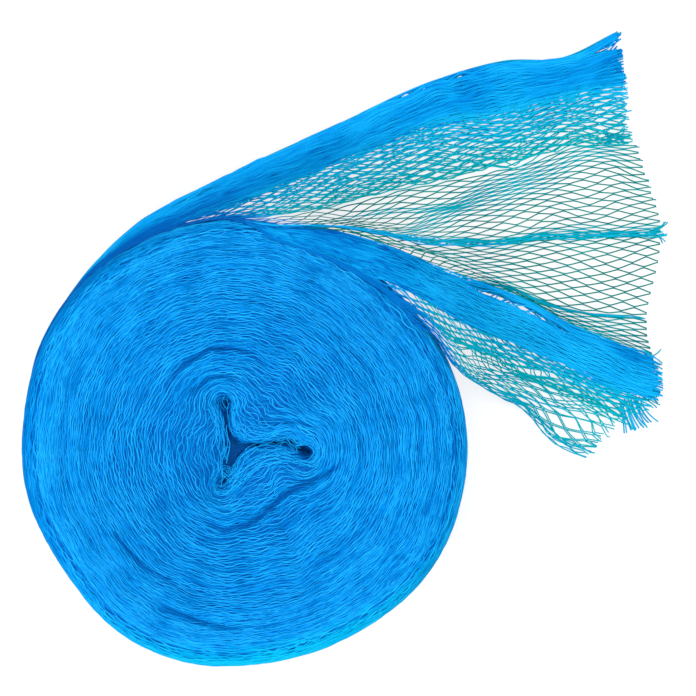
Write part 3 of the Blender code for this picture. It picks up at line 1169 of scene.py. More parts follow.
@dataclass
class DrapedSurface:
    """Middle surface of the loose end, read by place across the folds and distance from the cut.

    Attributes:
        outline: Outer edge of the roll.
        side: Side of the roll.
        start_angle: Direction in degrees where the loose end starts.
        over_rim: Rows of the roll's upper face: share of its radius in from the rim, and height.
        spans_per_fold: Points from one fold to the next.
        seat: Least distance from the roll.
        deepest: Most that the net drops between two folds, as a share of their distance.
        beyond_cut: How far the kept grid goes on beyond the cut edge.
    """

    outline: Outline
    side: SideProfile
    start_angle: float = 172.0
    over_rim: Places = ((0.06, 62.5), (0.14, 63.9), (0.22, 63.3))
    rim_step: float = 6.0
    climb_span: float = 22.0
    stations: int = 66
    spans_per_fold: int = 6
    fine_steps: int = 14
    seat: float = 1.1
    deepest: float = 0.35
    lowest: float = 0.8
    settling_passes: int = 6
    beyond_cut: float = 14.0

    def __post_init__(self) -> None:
        """Lay the surface out on an even grid."""
        rows = np.array(self.side.rows)
        mean = np.mean([radius for _, radius in self.outline.sectors])
        over = [(self.side.rim_inset + mean * share, height) for share, height in self.over_rim]
        self.profile = np.concatenate([rows, np.array(over)])
        self.profile_run = lengths_along(self.profile)
        self.rim_run = self.profile_run[len(rows) - 1]
        grid = self.settled(self.draped())
        self.read_by_distance(grid)

    def side_point(self, angle: Array, place: Array) -> Array:
        """Points lying on the roll's side in given directions.

        Args:
            angle: The directions in degrees.
            place: Places on the side: 1 is the rim.

        Returns:
            The points.
        """
        at = place * self.rim_run
        here = read_along(self.profile, self.profile_run, at)
        ahead = read_along(self.profile, self.profile_run, at + 0.2)
        along = unit(ahead - here)
        here = here + np.stack([-along[:, 1], along[:, 0]], axis=1) * self.seat
        reach = self.outline.radius(angle) - here[:, 0]
        return round_the_axis(reach, np.radians(angle), here[:, 1])

    def fold_path(self, fold: Fold) -> Array:
        """One fold, from the roll's side to the cut edge.

        Args:
            fold: The fold.

        Returns:
            Its points, evenly spaced.
        """
        angle = np.arange(self.start_angle, fold.leaves_at, -self.rim_step)
        travelled = ease((fold.climbs_at - angle) / self.climb_span)
        place = blend(fold.wall_from, fold.wall_to, travelled)
        if fold.wall_end is not None:
            climbed = fold.climbs_at - self.climb_span
            lowered = ease((climbed - angle) / (climbed - fold.leaves_at))
            place = place + (fold.wall_end - fold.wall_to) * lowered
        free = np.array(fold.points, float) - AXIS
        knots = np.concatenate([self.side_point(angle, place), free])
        along = lengths_along(knots)
        dense = curve_through(knots, along, np.linspace(0.0, along[-1], 600))
        run = lengths_along(dense)
        return read_along(dense, run, np.linspace(0.0, run[-1], self.stations))

    def looseness(self, points: Array, within: Array | float = 30.0) -> Array:
        """From 0 on the roll to 1 at a distance from it, where the net is free to drop."""
        return ease(-self.outline.inset(points) / within)

    def draped(self) -> Array:
        """Grid of points: one row at each station, across all the folds.

        Returns:
            The grid, clear of the roll.
        """
        paths = np.stack([self.fold_path(fold) for fold in FOLDS], axis=1)
        folds = np.arange(len(FOLDS), dtype=float)
        across = np.linspace(0.0, len(FOLDS) - 1, (len(FOLDS) - 1) * self.spans_per_fold + 1)
        grid = np.stack([curve_through(row, folds, across) for row in paths])
        share = np.mod(across, 1.0)
        sag = np.array([fold.sag for fold in FOLDS])[np.floor(across).astype(int)]
        drop = sag * np.sin(math.pi * share) ** 2 * self.looseness(grid) * grid[..., 2]
        gaps = np.linalg.norm(np.diff(paths, axis=1), axis=2)
        room = self.deepest * np.stack([np.interp(across, folds[:-1] + 0.5, row) for row in gaps])
        grid[..., 2] = np.maximum(self.lowest, grid[..., 2] - np.clip(drop, -room, room))
        self.across = across
        return self.kept_off(grid)

    def kept_off(self, grid: Array) -> Array:
        """The same points, moved out of the roll where they lie in it.

        Args:
            grid: The points.

        Returns:
            The points, moved.
        """
        spot = np.stack([self.outline.inset(grid), grid[..., 2]], axis=-1)
        best = np.full(grid.shape[:-1], np.inf)
        foot = np.zeros_like(spot)
        outward = np.zeros_like(spot)
        for start, end in zip(self.profile, self.profile[1:]):
            span = end - start
            share, _ = nearest_on(spot, start, span)
            here = start + share[..., None] * span
            away = np.linalg.norm(spot - here, axis=-1)
            closer = away < best
            best = np.where(closer, away, best)
            foot = np.where(closer[..., None], here, foot)
            outward = np.where(closer[..., None], unit(np.array([-span[1], span[0]])), outward)
        apart = ((spot - foot) * outward).sum(axis=-1)
        inside = (apart < self.seat) & ~((apart > 0.0) & (best >= self.seat))
        moved = foot + outward * self.seat
        angle = direction(grid)
        reach = self.outline.radius(np.degrees(angle)) - moved[..., 0]
        pushed = round_the_axis(reach, angle, moved[..., 1])
        return np.where(inside[..., None], pushed, grid)

    def settled(self, grid: Array) -> Array:
        """The grid eased between its neighbours where it lies on the roll.

        Args:
            grid: The points.

        Returns:
            The points, eased.
        """
        for _ in range(self.settling_passes):
            around = (grid[:-2, 1:-1] + grid[2:, 1:-1] + grid[1:-1, :-2] + grid[1:-1, 2:]) / 4.0
            hold = (1.0 - self.looseness(grid[1:-1, 1:-1]))[..., None] * 0.6
            eased = grid.copy()
            eased[1:-1, 1:-1] += (around - grid[1:-1, 1:-1]) * hold
            grid = self.kept_off(eased)
        return grid

    def read_by_distance(self, grid: Array) -> None:
        """Keep the surface on a grid of equal steps back from the cut edge.

        Args:
            grid: The points, from the roll to the cut edge.
        """
        fine = np.linspace(0.0, len(FOLDS) - 1, (len(FOLDS) - 1) * self.fine_steps + 1)
        columns, reach = [], []
        for place in fine:
            index = min(int(np.searchsorted(self.across, place, side="right")) - 1,
                        len(self.across) - 2)
            span = self.across[index + 1] - self.across[index]
            share = (place - self.across[index]) / span
            line = (grid[:, index] * (1.0 - share) + grid[:, index + 1] * share)[::-1]
            knots = lengths_along(line)
            dense = curve_through(line, knots, np.linspace(0.0, knots[-1], 500))
            columns.append(dense)
            reach.append(lengths_along(dense))
        self.reach = np.array([run[-1] for run in reach])
        self.fine = fine
        self.back = np.arange(-self.beyond_cut, self.reach.max() + 2.0, 1.0)
        surface = np.stack([read_along(line, run, self.back) for line, run in zip(columns, reach)])
        ends = np.array([unit(line[0] - line[6]) for line in columns])
        outside = np.clip(-self.back, 0.0, None)
        surface += ends[:, None, :] * np.array([1.0, 1.0, 0.3]) * outside[None, :, None]
        surface = self.spaced_evenly(surface)
        self.surface = surface
        along = np.gradient(surface, axis=1)
        over = np.gradient(surface, axis=0)
        normal = unit(np.cross(over, along))
        outward = unit(surface * np.array([1.0, 1.0, 0.0])) + np.array([0.0, 0.0, 1.0])
        normal *= np.sign((normal * outward).sum(axis=-1, keepdims=True))
        self.normal = normal
        self.width = np.linalg.norm(over, axis=-1) / (fine[1] - fine[0])

    def spaced_evenly(self, surface: Array) -> Array:
        """The same surface with even steps across it from one fold to the next.

        Args:
            surface: Points across the folds and back from the cut edge.

        Returns:
            The points, moved.
        """
        spaced = surface.copy()
        for fold in range(len(FOLDS) - 1):
            first = fold * self.fine_steps
            part = surface[first:first + self.fine_steps + 1]
            for row in range(surface.shape[1]):
                run = lengths_along(part[:, row])
                at = np.linspace(0.0, run[-1], self.fine_steps + 1)
                spaced[first:first + self.fine_steps + 1, row] = read_along(part[:, row], run, at)
        return spaced

    def read(self, kept: Array, across: Array, back: Array) -> Array:
        """Read one of the kept grids between its points.

        Args:
            kept: The surface, its normals or its width for each fold.
            across: Places across the folds.
            back: Distances from the cut edge.

        Returns:
            The values there.
        """
        column = np.clip(across / (self.fine[1] - self.fine[0]), 0.0, len(self.fine) - 1.001)
        row = np.clip(back + self.beyond_cut, 0.0, len(self.back) - 1.001)
        i, j = column.astype(int), row.astype(int)
        s, t = column - i, row - j
        if kept.ndim == 3:
            s, t = s[..., None], t[..., None]
        return ((kept[i, j] * (1 - s) + kept[i + 1, j] * s) * (1 - t)
                + (kept[i, j + 1] * (1 - s) + kept[i + 1, j + 1] * s) * t)


class BarShape(Enum):
    """Steps from one joint to the next: how far along the bar, and how far across."""

    CURVED = ((0.0, 0.0), (0.18, 0.15), (0.40, 0.385), (0.60, 0.615), (0.82, 0.85))
    SIMPLE = ((0.0, 0.0), (0.34, 0.28), (0.67, 0.74))
    PLAIN = ((0.0, 0.0), (0.5, 0.5))


@dataclass(frozen=True)
class Gathering:
    """Web whose strands go into the bunches beside it, one by one, away from the cut edge.

    Attributes:
        first: Place of the web's first edge.
        last: Place of its last edge.
        anchor: Place that stays as it is.
        crowding: Distances from the cut edge, and how far the places draw apart there.
        depth: How far strands run into the bunch before the web and the one beyond it, in folds.
    """

    name: str
    first: float
    last: float
    anchor: float
    crowding: Places
    depth: Pair
    ease: float = 0.22

    def gathered(self, place: Array, back: Array) -> Array:
        """New place of each strand.

        Args:
            place: Places across the folds.
            back: Distances from the cut edge.

        Returns:
            The new places.
        """
        knots, times = np.array(self.crowding).T
        moved = self.anchor + (place - self.anchor) * smooth_curve(back, knots, times)
        before, beyond = self.depth
        over = np.maximum(moved - self.last, 0.0)
        under = np.maximum(self.first - moved, 0.0)
        kept = np.clip(moved, self.first, self.last)
        kept = kept + beyond * (1.0 - np.exp(-self.ease * over / beyond))
        kept = kept - before * (1.0 - np.exp(-self.ease * under / before))
        inside = (place > self.first - 0.03) & (place < self.last + 0.03)
        return np.where(inside, kept, place)

    def freedom(self, place: Array) -> Array:
        """How freely strands swing: 1 in the web, falling to 0 in the bunches beside it."""
        outside = np.maximum(place - self.last, self.first - place)
        return 1.0 - ease(outside / 0.06)


TO_THE_LOWER_BUNCH = Gathering(
    "between the rope fold and the lower bunch", 3, 5, 3.01,
    ((0, 1), (28, 1), (55, 1.06), (78, 1.25), (98, 1.6), (115, 2), (133, 2.65),
     (152, 3.8), (175, 6.5), (195, 9)), (0.02, 0.45))
OVER_THE_ROPE = Gathering(
    "above the rope fold", 2, 3, 2,
    ((0, 1), (95, 1), (118, 1.06), (132, 1.15), (150, 1.35), (172, 1.8),
     (192, 2.5), (212, 3.6), (240, 6)), (0.02, 0.06))
OUT_OF_THE_UPPER_BUNCH = Gathering(
    "out of the upper bunch", 0.90, 2, 2,
    ((0, 1), (130, 1), (170, 1.25), (205, 1.6), (240, 2.1), (300, 2.8)),
    (0.50, 0.05))
BESIDE_THE_ROLL = Gathering(
    "upper bunch beside the roll", -1, 2, 0,
    ((0, 1), (165, 1), (200, 0.88), (225, 0.78), (300, 0.76)), (0.02, 0.02))
OUT_OF_THE_LOWER_BUNCH = Gathering(
    "tufted net beyond the lower bunch", 5.90, 7, 7,
    ((0, 1), (62, 1), (90, 1.15), (115, 1.45), (145, 1.8), (200, 2.2)),
    (0.60, 0.05))
OUT_OF_THE_TUFTED_NET = Gathering(
    "fringe beyond the tufted net", 6.90, 8, 8,
    ((0, 1), (80, 1), (115, 1.15), (150, 1.3), (200, 1.4)), (0.40, 0.05))
LENGTHWISE_SHADES = ((0, 0.10), (0.25, 0.06), (0.50, -0.12), (0.75, -0.05), (1, 0), (4.9, 0),
                     (5, -0.08), (5.22, -0.02), (5.55, 0.14), (5.9, 0.10), (6.2, 0))
LOOSE_PATCHES = Ripple(seed=17, shortest=22.0, longest=110.0)


@dataclass(frozen=True)
class Neck:
    """Stretch of a bunch with painted shade, where it lies deep beside the roll.

    Attributes:
        start: Distance from the cut edge where it starts to darken.
        span: Further distance over which it does.
        dark: Lightness that its strands lose to the painted shade.
        fold: Place across the folds where it starts.
        reach: Width over which it sets in, in folds.
        on_roll: Share of it that stays where the bunch lies on the roll.
    """

    start: float
    span: float
    dark: float
    fold: float
    reach: float
    on_roll: float

    def at(self, line: Array, back: Array) -> Array:
        """How much painted shade each place gets, from 0 to 1."""
        far = ease((back - self.start) / self.span)
        return far * ease((line - self.fold) / self.reach)


@dataclass(frozen=True)
class Panel:
    """Part of the net between two folds.

    Attributes:
        start: Place across the folds where it starts.
        end: Place where it ends.
        columns: Strands side by side in one layer.
        layers: Layers of net, laid back and forth.
        thickness: Height of all the layers.
        bars: Shape of the bars of its meshes.
        ragged: Least and greatest distance of the strands' ends from the cut edge.
        roam: How far the meshes of a layer are pushed out of line.
        open: Share of the colour that light gives lone strands, at its start and at its end.
        width: Its width far from the cut edge and at it, where it is gathered into a cord.
        edge_spread: How unevenly the layers end at its sides, in folds.
        shade: Lightness of its strands.
        thinning: How much further apart its strands are at its end: 1 is evenly spaced.
        twin: Distance that its layers part, where they follow each other strand by strand.
        tips: True where its strands end in pairs at their last joints.
        gathers: How its strands go into the bunches beside it.
        swing: Furthest that a strand moves to meet its neighbour.
        dash_shade: How dark the short dashes of painted shade get, standing for strands lying in shade
            between others.
        clears: Distance from the roll at which light comes through.
        neck: Where painted shade darkens it beside the roll.
    """

    name: str
    start: float
    end: float
    columns: int
    layers: int
    thickness: float
    bars: BarShape
    ragged: Pair
    roam: float
    open: Pair
    width: Pair | None = None
    edge_spread: float = 0.0
    shade: float = 0.6
    radius: float = 0.40
    thinning: float = 1.0
    twin: float = 0.0
    tips: bool = False
    gathers: Gathering | None = None
    swing: float = 9.0
    dash_shade: float = 0.0
    clears: float = 9.0
    neck: Neck | None = None


@dataclass(frozen=True)
class Streak:
    """Line along the net where strands draw together or part.

    Attributes:
        line: Its points: distance back from the cut edge and place across the folds.
        pull: Share of the way that strands are drawn to it.
        reach: How far across it acts, in folds.
        parts: Half the slit that opens along it, in folds.
    """

    name: str
    line: Places
    pull: float
    reach: float
    parts: float = 0.0

    def drawn(self, place: Array, back: Array) -> Array:
        """Shift of each place towards the streak.

        Args:
            place: Places across the folds.
            back: Distances from the cut edge.

        Returns:
            The shifts.
        """
        knots, places = np.array(self.line).T
        off = np.interp(back, knots, places) - place
        ends = ease((back - knots[0] + 8.0) / 16.0)
        ends = ends * ease((knots[-1] + 8.0 - back) / 16.0)
        near = np.exp(-((off / self.reach) ** 2))
        return (self.pull * off - self.parts * np.sign(off)) * near * ends


STREAKS = (
    Streak("across the upper web", ((12, 2.06), (40, 2.15), (75, 2.28), (105, 2.46), (130, 2.68),
        (150, 2.88)), 0.36, 0.34),
    Streak("left of it", ((104, 2.44), (125, 2.38), (148, 2.29), (166, 2.30), (197, 2.66)), 0.50, 0.15),
    Streak("above the rope", ((0, 2.92), (60, 2.93), (120, 2.96), (168, 2.97)), 0.42, 0.15),
    Streak("below the rope", ((0, 3.10), (60, 3.12), (100, 3.10)), 0.34, 0.20),
    Streak("below the large cells", ((60, 6.25), (130, 6.40)), 0.30, 0.16),
    Streak("gap at the corner", ((-8, 0.26), (14, 0.22)), 0, 0.14, 0.07),
    Streak("slit at the outer edge", ((88, 0.08), (130, 0.08)), 0, 0.06, 0.045),
    Streak("second slit at the outer edge", ((236, 0.20), (268, 0.17)), 0, 0.08, 0.060),
    Streak("slit in the lower bunch", ((54, 5.20), (86, 5.18), (112, 5.13)), 0, 0.12, 0.085),
    Streak("large open cells", ((46, 6.70), (60, 6.85), (86, 7.02), (112, 7.12)), 0, 0.32, 0.085),
)

UPPER_PANELS = (
    Panel("edge strand", -0.02, 0.01, 2, 1, 0.4, BarShape.SIMPLE, (-1.0, 1.0), 0.3, (0.6, 0.6),
        shade=0.45),
    Panel("upper bunch", 0.045, 0.98, 27, 5, 4.2, BarShape.PLAIN, (-1.5, 3.0), 1.8, (0.0, 0.2),
        edge_spread=0.08, swing=0.8, dash_shade=0.22, shade=0.54, gathers=BESIDE_THE_ROLL,
        neck=Neck(195.0, 75.0, 0.58, 0.18, 0.3, 0.3)),
    Panel("close net", 0.86, 2.0, 25, 3, 2.2, BarShape.SIMPLE, (-1.0, 3.5), 1.8, (0.35, 0.80),
        radius=0.38, edge_spread=0.06, thinning=1.5, shade=0.95, gathers=OUT_OF_THE_UPPER_BUNCH,
        neck=Neck(180.0, 60.0, 0.62, 0.1, 0.3, 0.8)),
)
MIDDLE_PANELS = (
    Panel("upper web", 2.02, 2.98, 27, 1, 0.4, BarShape.CURVED, (-1.4, -0.3), 0.8, (1.0, 1.0),
        radius=0.36, shade=0.15, tips=True, gathers=OVER_THE_ROPE),
    Panel("rope fold", 3.0, 3.0, 3, 3, 2.2, BarShape.SIMPLE, (-6.0, 2.0), 0.9, (0.78, 0.78),
        width=(6.0, 4.4), shade=0.9, radius=0.36, swing=1.4, clears=75.0),
    Panel("lower web", 3.02, 3.965, 18, 1, 0.4, BarShape.CURVED, (-1.4, -0.3), 0.7, (1.0, 1.0),
        radius=0.38, shade=0.15, tips=True, gathers=TO_THE_LOWER_BUNCH),
    Panel("small fold", 4.0, 4.0, 2, 2, 0.6, BarShape.SIMPLE, (-2.0, 1.0), 0.4, (0.8, 0.8),
        width=(1.0, 1.8), gathers=TO_THE_LOWER_BUNCH, radius=0.34),
    Panel("last web", 4.04, 4.97, 14, 1, 0.4, BarShape.CURVED, (-1.4, -0.3), 0.7, (1.0, 1.0),
        radius=0.38, shade=0.15, tips=True, gathers=TO_THE_LOWER_BUNCH),
)
LOWER_PANELS = (
    Panel("lower bunch", 5.0, 6.0, 24, 6, 4.4, BarShape.PLAIN, (-4.0, 4.5), 1.7, (0.08, 0.22),
        edge_spread=0.07, swing=0.8, dash_shade=0.16, shade=0.68, clears=40.0,
        neck=Neck(104.0, 80.0, 0.50, 4.5, 0.5, 1.0)),
    Panel("tufted net", 5.88, 7.0, 14, 3, 2.0, BarShape.SIMPLE, (-4.0, 5.0), 1.4, (0.42, 0.75),
        radius=0.37, edge_spread=0.08, thinning=1.3, shade=0.95, gathers=OUT_OF_THE_LOWER_BUNCH),
    Panel("fringe net", 6.9, 7.9, 11, 2, 1.4, BarShape.CURVED, (-1.0, 3.0), 1.6, (0.75, 0.75), twin=1.3,
        radius=0.34, shade=0.95, gathers=OUT_OF_THE_TUFTED_NET),
    Panel("fringe edge", 7.84, 8.0, 3, 2, 0.8, BarShape.SIMPLE, (-1.0, 3.0), 1.0, (0.6, 0.6),
        radius=0.34, shade=0.7, swing=0.6),
)


@dataclass(frozen=True)
class StrayThreads:
    """Loose threads that leave the net side by side.

    Attributes:
        line: Start, bend and end of the first one, about the frame's origin.
        spread: How far each thread strays from its line at its start and at its end.
        count: Number of threads.
        step: From each thread to the next.
        fan: How much further their ends are apart.
        open: Share of the colour that light gives lone strands.
    """

    name: str
    line: tuple[tuple[float, float, float], ...]
    spread: Pair
    count: int
    step: Pair = (0.0, 0.0)
    fan: Pair = (0.0, 0.0)
    radius: float = 0.36
    open: float = 0.65
    stations: int = 11

    def lay(self, strands: StrandMesh, rng: Draws) -> None:
        """Lay the threads.

        Args:
            strands: Mesh that takes them.
            rng: Random draws.
        """
        t = np.linspace(0.0, 1.0, self.stations)[:, None]
        up = np.tile([0.0, 0.0, 1.0], (self.stations, 1))
        for number in range(self.count):
            line = np.array(self.line) - AXIS
            line[:, :2] += number * np.array(self.step)
            line[1, :2] += number * np.array(self.fan) * 0.2
            line[2, :2] += number * np.array(self.fan)
            line[0, :2] += rng.uniform(-1.0, 1.0, 2) * self.spread[0]
            line[1, :2] += rng.uniform(-1.0, 1.0, 2) * (self.spread[0] + self.spread[1]) / 2.0
            line[2, :2] += rng.uniform(-1.0, 1.0, 2) * self.spread[1]
            points = line[0] * (1 - t) ** 2 + 2 * line[1] * t * (1 - t) + line[2] * t**2
            points[:, 2] = np.maximum(points[:, 2] + rng.uniform(0.0, 1.0), 0.5)
            strands.add(points, up, self.radius, shade=rng.uniform(0.5, 0.9), tone=0.0, open=self.open)


UPPER_STRAYS = (
    StrayThreads("star in the close net", ((142, 116.4, 3), (146.2, 117.6, 4.5), (150.5, 118, 3)),
        (3.6, 3.6), 7),
    StrayThreads("upper corner", ((142, 168, 5), (147, 171.5, 4.5), (151, 174.5, 4)), (1, 1.4), 3),
)
MIDDLE_STRAYS = (
    StrayThreads("end of the rope fold", ((168, 64.4, 4), (174, 67, 4), (176.5, 70, 3)), (1, 1.6), 4),
    StrayThreads("lower end of the rope fold", ((168, 63.8, 3), (174.5, 63, 3), (176, 58.5, 2)),
        (0.8, 1.4), 2),
    StrayThreads("curl at the corner", ((163, -4, 3), (170, -6.5, 3.5), (174, -0.8, 2.5)), (0.4, 0.4),
        1),
)
LOWER_STRAYS = (
    StrayThreads("upper end of the lower bunch", ((163, -1, 5), (170, -5, 4), (175.5, -7.5, 2.5)),
        (1.2, 1.2), 5, (0, -2.4)),
    StrayThreads("right end of the lower bunch", ((164, -13, 5), (170, -17, 4), (174, -19, 2)),
        (1.2, 1.6), 8, (-0.1, -2)),
    StrayThreads("brush", ((150.6, -30.4, 2.6), (152.6, -40, 2.6), (154.6, -46.8, 1.2)), (1.2, 1.5), 16,
        (0.70, 0.26), (0.40, 0.08), radius=0.42, open=0.4),
)


@dataclass(frozen=True)
class NetStrand:
    """One strand of the loose end.

    Attributes:
        level: Height of its layer, from -0.5 to 0.5.
        line: Its places across the folds.
        run: Their distances from the cut edge.
        thin: Share of the colour that light gives lone strands.
        travelled: Their distances from where the loose end starts, on the roll.
        alone: How far apart they are from their neighbours, from 0 to 1.
    """

    level: float
    line: Array
    run: Array
    thin: Array
    travelled: Array
    alone: Array


@dataclass
class LooseNet:
    """Strands of the loose end, from the roll to the cut edge.

    Attributes:
        surface: Surface they lie on.
        panels: Panels of net in it.
        strays: Threads that leave the net.
        half_mesh: Distance from one row of joints to the next.
        start_spread: Length on the roll over which the strands come out of its turns.
        usual_width: Usual distance between two folds.
        cord_from: Distance from the cut edge where a gathered fold has its far width.
        changes: Distances along a strand over which its height, tone and painted dark dashes change.
    """

    surface: DrapedSurface
    name: str
    panels: tuple[Panel, ...]
    seed: int
    strays: tuple[StrayThreads, ...] = ()
    half_mesh: float = 7.2
    lowest: float = 0.45
    start_spread: float = 34.0
    start_depth: float = 2.2
    usual_width: float = 34.0
    pattern: Pair = (14.0, 48.0)
    twin_pattern: Pair = (20.0, 70.0)
    cord_from: float = 110.0
    cord_span: float = 80.0
    changes: tuple[float, float, float] = (8.0, 30.0, 4.6)

    def build(self, material: Material) -> Piece:
        """Lay every panel.

        Args:
            material: Finish of the strands.

        Returns:
            The new piece.
        """
        rng = np.random.default_rng(self.seed)
        strands = StrandMesh(self.name, Section.LOW, row_segments=400)
        for panel in self.panels:
            seeds = rng.integers(1 << 30, size=(panel.layers, 3))
            if panel.twin:
                seeds[:] = seeds[0]
            for layer in range(panel.layers):
                self.lay_layer(strands, rng, panel, layer, seeds[layer])
        for stray in self.strays:
            stray.lay(strands, rng)
        return strands.build(material)

    def shut_size(self) -> Pair:
        """Width and length of the piece in metres, pulled shut so that its strands lie side by side.

        Returns:
            The width and the length.
        """
        width = sum(2.0 * panel.radius * panel.columns * panel.layers for panel in self.panels)
        spots = np.array([(panel.start + panel.end) / 2.0 for panel in self.panels])
        shares = np.array([panel.columns * panel.layers for panel in self.panels], float)
        reach = np.interp(spots, self.surface.fine, self.surface.reach)
        return width * MM, float((reach * shares).sum() / shares.sum()) * MM

    def places(self, rng: Draws, panel: Panel, seeds: Array,
               joints: Array) -> tuple[Array, Array, Array]:
        """Where the strands of one layer run before they join.

        Args:
            rng: Random draws.
            panel: The panel.
            seeds: Three seeds of the layer's own pattern.
            joints: Number of each joint.

        Returns:
            The place far from the cut edge of each strand, and the place and the distance from
            the cut edge of each of its joints.
        """
        surface = self.surface
        own = np.random.default_rng(int(seeds[0]))
        back = joints * self.half_mesh
        if not panel.tips:
            back = back + own.uniform(0.0, self.half_mesh)
        edges = own.uniform(-1.0, 1.0, 2) * panel.edge_spread
        share = np.linspace(0.0, 1.0, panel.columns) ** panel.thinning
        base = blend(panel.start + edges[0], panel.end + edges[1], share)
        place = np.repeat(base[:, None], len(joints), axis=1)
        row = np.repeat(back[None, :], panel.columns, axis=0)
        width = surface.read(surface.width, np.full(row.shape, panel.start), row)
        if panel.width is not None:
            across = (np.arange(panel.columns) + own.uniform(0.0, 1.0)) / panel.columns - 0.5
            spread = blend(*panel.width, ease((self.cord_from - row) / self.cord_span))
            place = panel.start + across[:, None] * spread / np.maximum(width, 1.0)
        side = place * self.usual_width
        shift = Ripple(int(seeds[1]), *self.pattern).at(side, row)
        push = Ripple(int(seeds[2]), *self.pattern).at(side, row)
        roomy = np.clip(width / self.usual_width, 0.05, 1.5)
        place = place + panel.roam * roomy * shift / np.maximum(width, 4.0)
        if panel.twin:
            apart = Ripple(int(rng.integers(1 << 30)), *self.twin_pattern).at(side, row)
            place = place + panel.twin * apart / np.maximum(width, 4.0)
        row = row + min(panel.roam, 1.8) * push
        if panel.gathers is not None:
            place = panel.gathers.gathered(place, row)
        for streak in STREAKS:
            place = place + streak.drawn(place, row)
        return base, place, row

    def lay_layer(self, strands: StrandMesh, rng: Draws, panel: Panel,
                  layer: int, seeds: Array) -> None:
        """Lay one layer of a panel.

        Args:
            strands: Mesh that takes the strands.
            rng: Random draws.
            panel: The panel.
            layer: Which of its layers.
            seeds: Three seeds of the layer's own pattern.
        """
        surface = self.surface
        joints = np.arange(-2.0, math.ceil(surface.reach.max() / self.half_mesh) + 1.0)
        base, place, row = self.places(rng, panel, seeds, joints)
        width = surface.read(surface.width, place, row)
        spacing = np.abs(np.gradient(place, axis=0)) * width
        lone = ease((spacing - 0.6) / 1.7)
        across = self.joined(panel, place, row, joints)
        level = (layer + 0.5) / panel.layers - 0.5
        ends = rng.uniform(*panel.ragged, panel.columns)
        if panel.tips:
            ends = ends + row[:, 2]
        steps = np.array(panel.bars.value)
        joint = np.tile(1.0 - 4.0 * steps[:, 1] * (1.0 - steps[:, 1]), len(joints) - 1)
        joint = np.append(joint, 1.0)
        for one in range(panel.columns):
            line = self.between(across[one], steps[:, 1])
            run = self.between(row[one], steps[:, 0])
            reach = np.interp(base[one], surface.fine, surface.reach)
            kept = (run > ends[one]) & (run < reach - rng.uniform(1.0, self.start_spread))
            if panel.gathers is not None:
                kept &= line < panel.gathers.last + 0.13
            over = np.clip((line - panel.start) / max(panel.end - panel.start, 0.1), 0.0, 1.0)
            alone = self.between(lone[one], steps[:, 0])
            thin = blend(*panel.open, over) * (0.7 + 0.3 * alone) * (1.0 - 0.12 * joint)
            if kept.sum() > 1:
                self.lay(strands, rng, panel, NetStrand(
                    level, line[kept], run[kept], thin[kept], reach - run[kept], alone[kept]))

    def joined(self, panel: Panel, place: Array, row: Array, joints: Array) -> Array:
        """Bring each strand beside one neighbour and then the other at its joints.

        Args:
            panel: The panel.
            place: Own place of each strand at each joint.
            row: Distance of each joint from the cut edge.
            joints: Number of each joint.

        Returns:
            The place of each strand at each joint.
        """
        count = len(place)
        index = np.arange(count)[:, None]
        towards = np.where((joints[None, :].astype(int) + index) % 2 == 0, 1, -1)
        partner = np.clip(index + towards, 0, count - 1)
        off = place[partner, np.arange(len(joints))[None, :]] - place
        apart = np.abs(off) * self.surface.read(self.surface.width, place, row)
        apart = np.maximum(apart, 0.1)
        swing = panel.swing if panel.gathers is None else panel.swing * panel.gathers.freedom(place)
        pull = np.clip(0.5 - 0.82 * panel.radius / apart, 0.0, np.minimum(0.5, swing / apart))
        return np.clip(place + off * pull, -0.04, len(FOLDS) - 1.0)

    @staticmethod
    def between(values: Array, shares: Array) -> Array:
        """Values at each share of the way from one joint to the next."""
        steps = values[:-1, None] + np.diff(values)[:, None] * shares[None, :]
        return np.append(steps.ravel(), values[-1])

    def lay(self, strands: StrandMesh, rng: Draws, panel: Panel, strand: NetStrand) -> None:
        """Lay one strand on the surface.

        Args:
            strands: Mesh that takes it.
            rng: Random draws.
            panel: Panel that it belongs to.
            strand: The strand.
        """
        surface = self.surface
        points = surface.read(surface.surface, strand.line, strand.run)
        normal = unit(surface.read(surface.normal, strand.line, strand.run))
        loose = surface.looseness(points)
        thickness = panel.thickness * (0.25 + 0.75 * loose)
        hop, tone, dark_dashes = (drift(rng, 1, strand.run + surface.beyond_cut, change)[0]
                           for change in self.changes)
        sunk = self.start_depth * (1.0 - ease((strand.travelled - 1.0) / self.start_spread))
        points = points + normal * (strand.level * thickness + 0.25 * hop - sunk)[:, None]
        points[:, 2] = np.maximum(points[:, 2], self.lowest)
        # Painted shade and light: upper layers and raised strands lighter, lower ones darker; tone
        # varies at random.
        shade = panel.shade + 0.30 * strand.level + 0.16 * hop + 0.10 * tone
        dark_dashes = ease((dark_dashes - 0.25) / 0.45)
        strands.add(points, normal, panel.radius, tone=tone,
                    shade=self.darkened(panel, strand, points, loose, shade, dark_dashes),
                    open=strand.thin * surface.looseness(points, panel.clears))

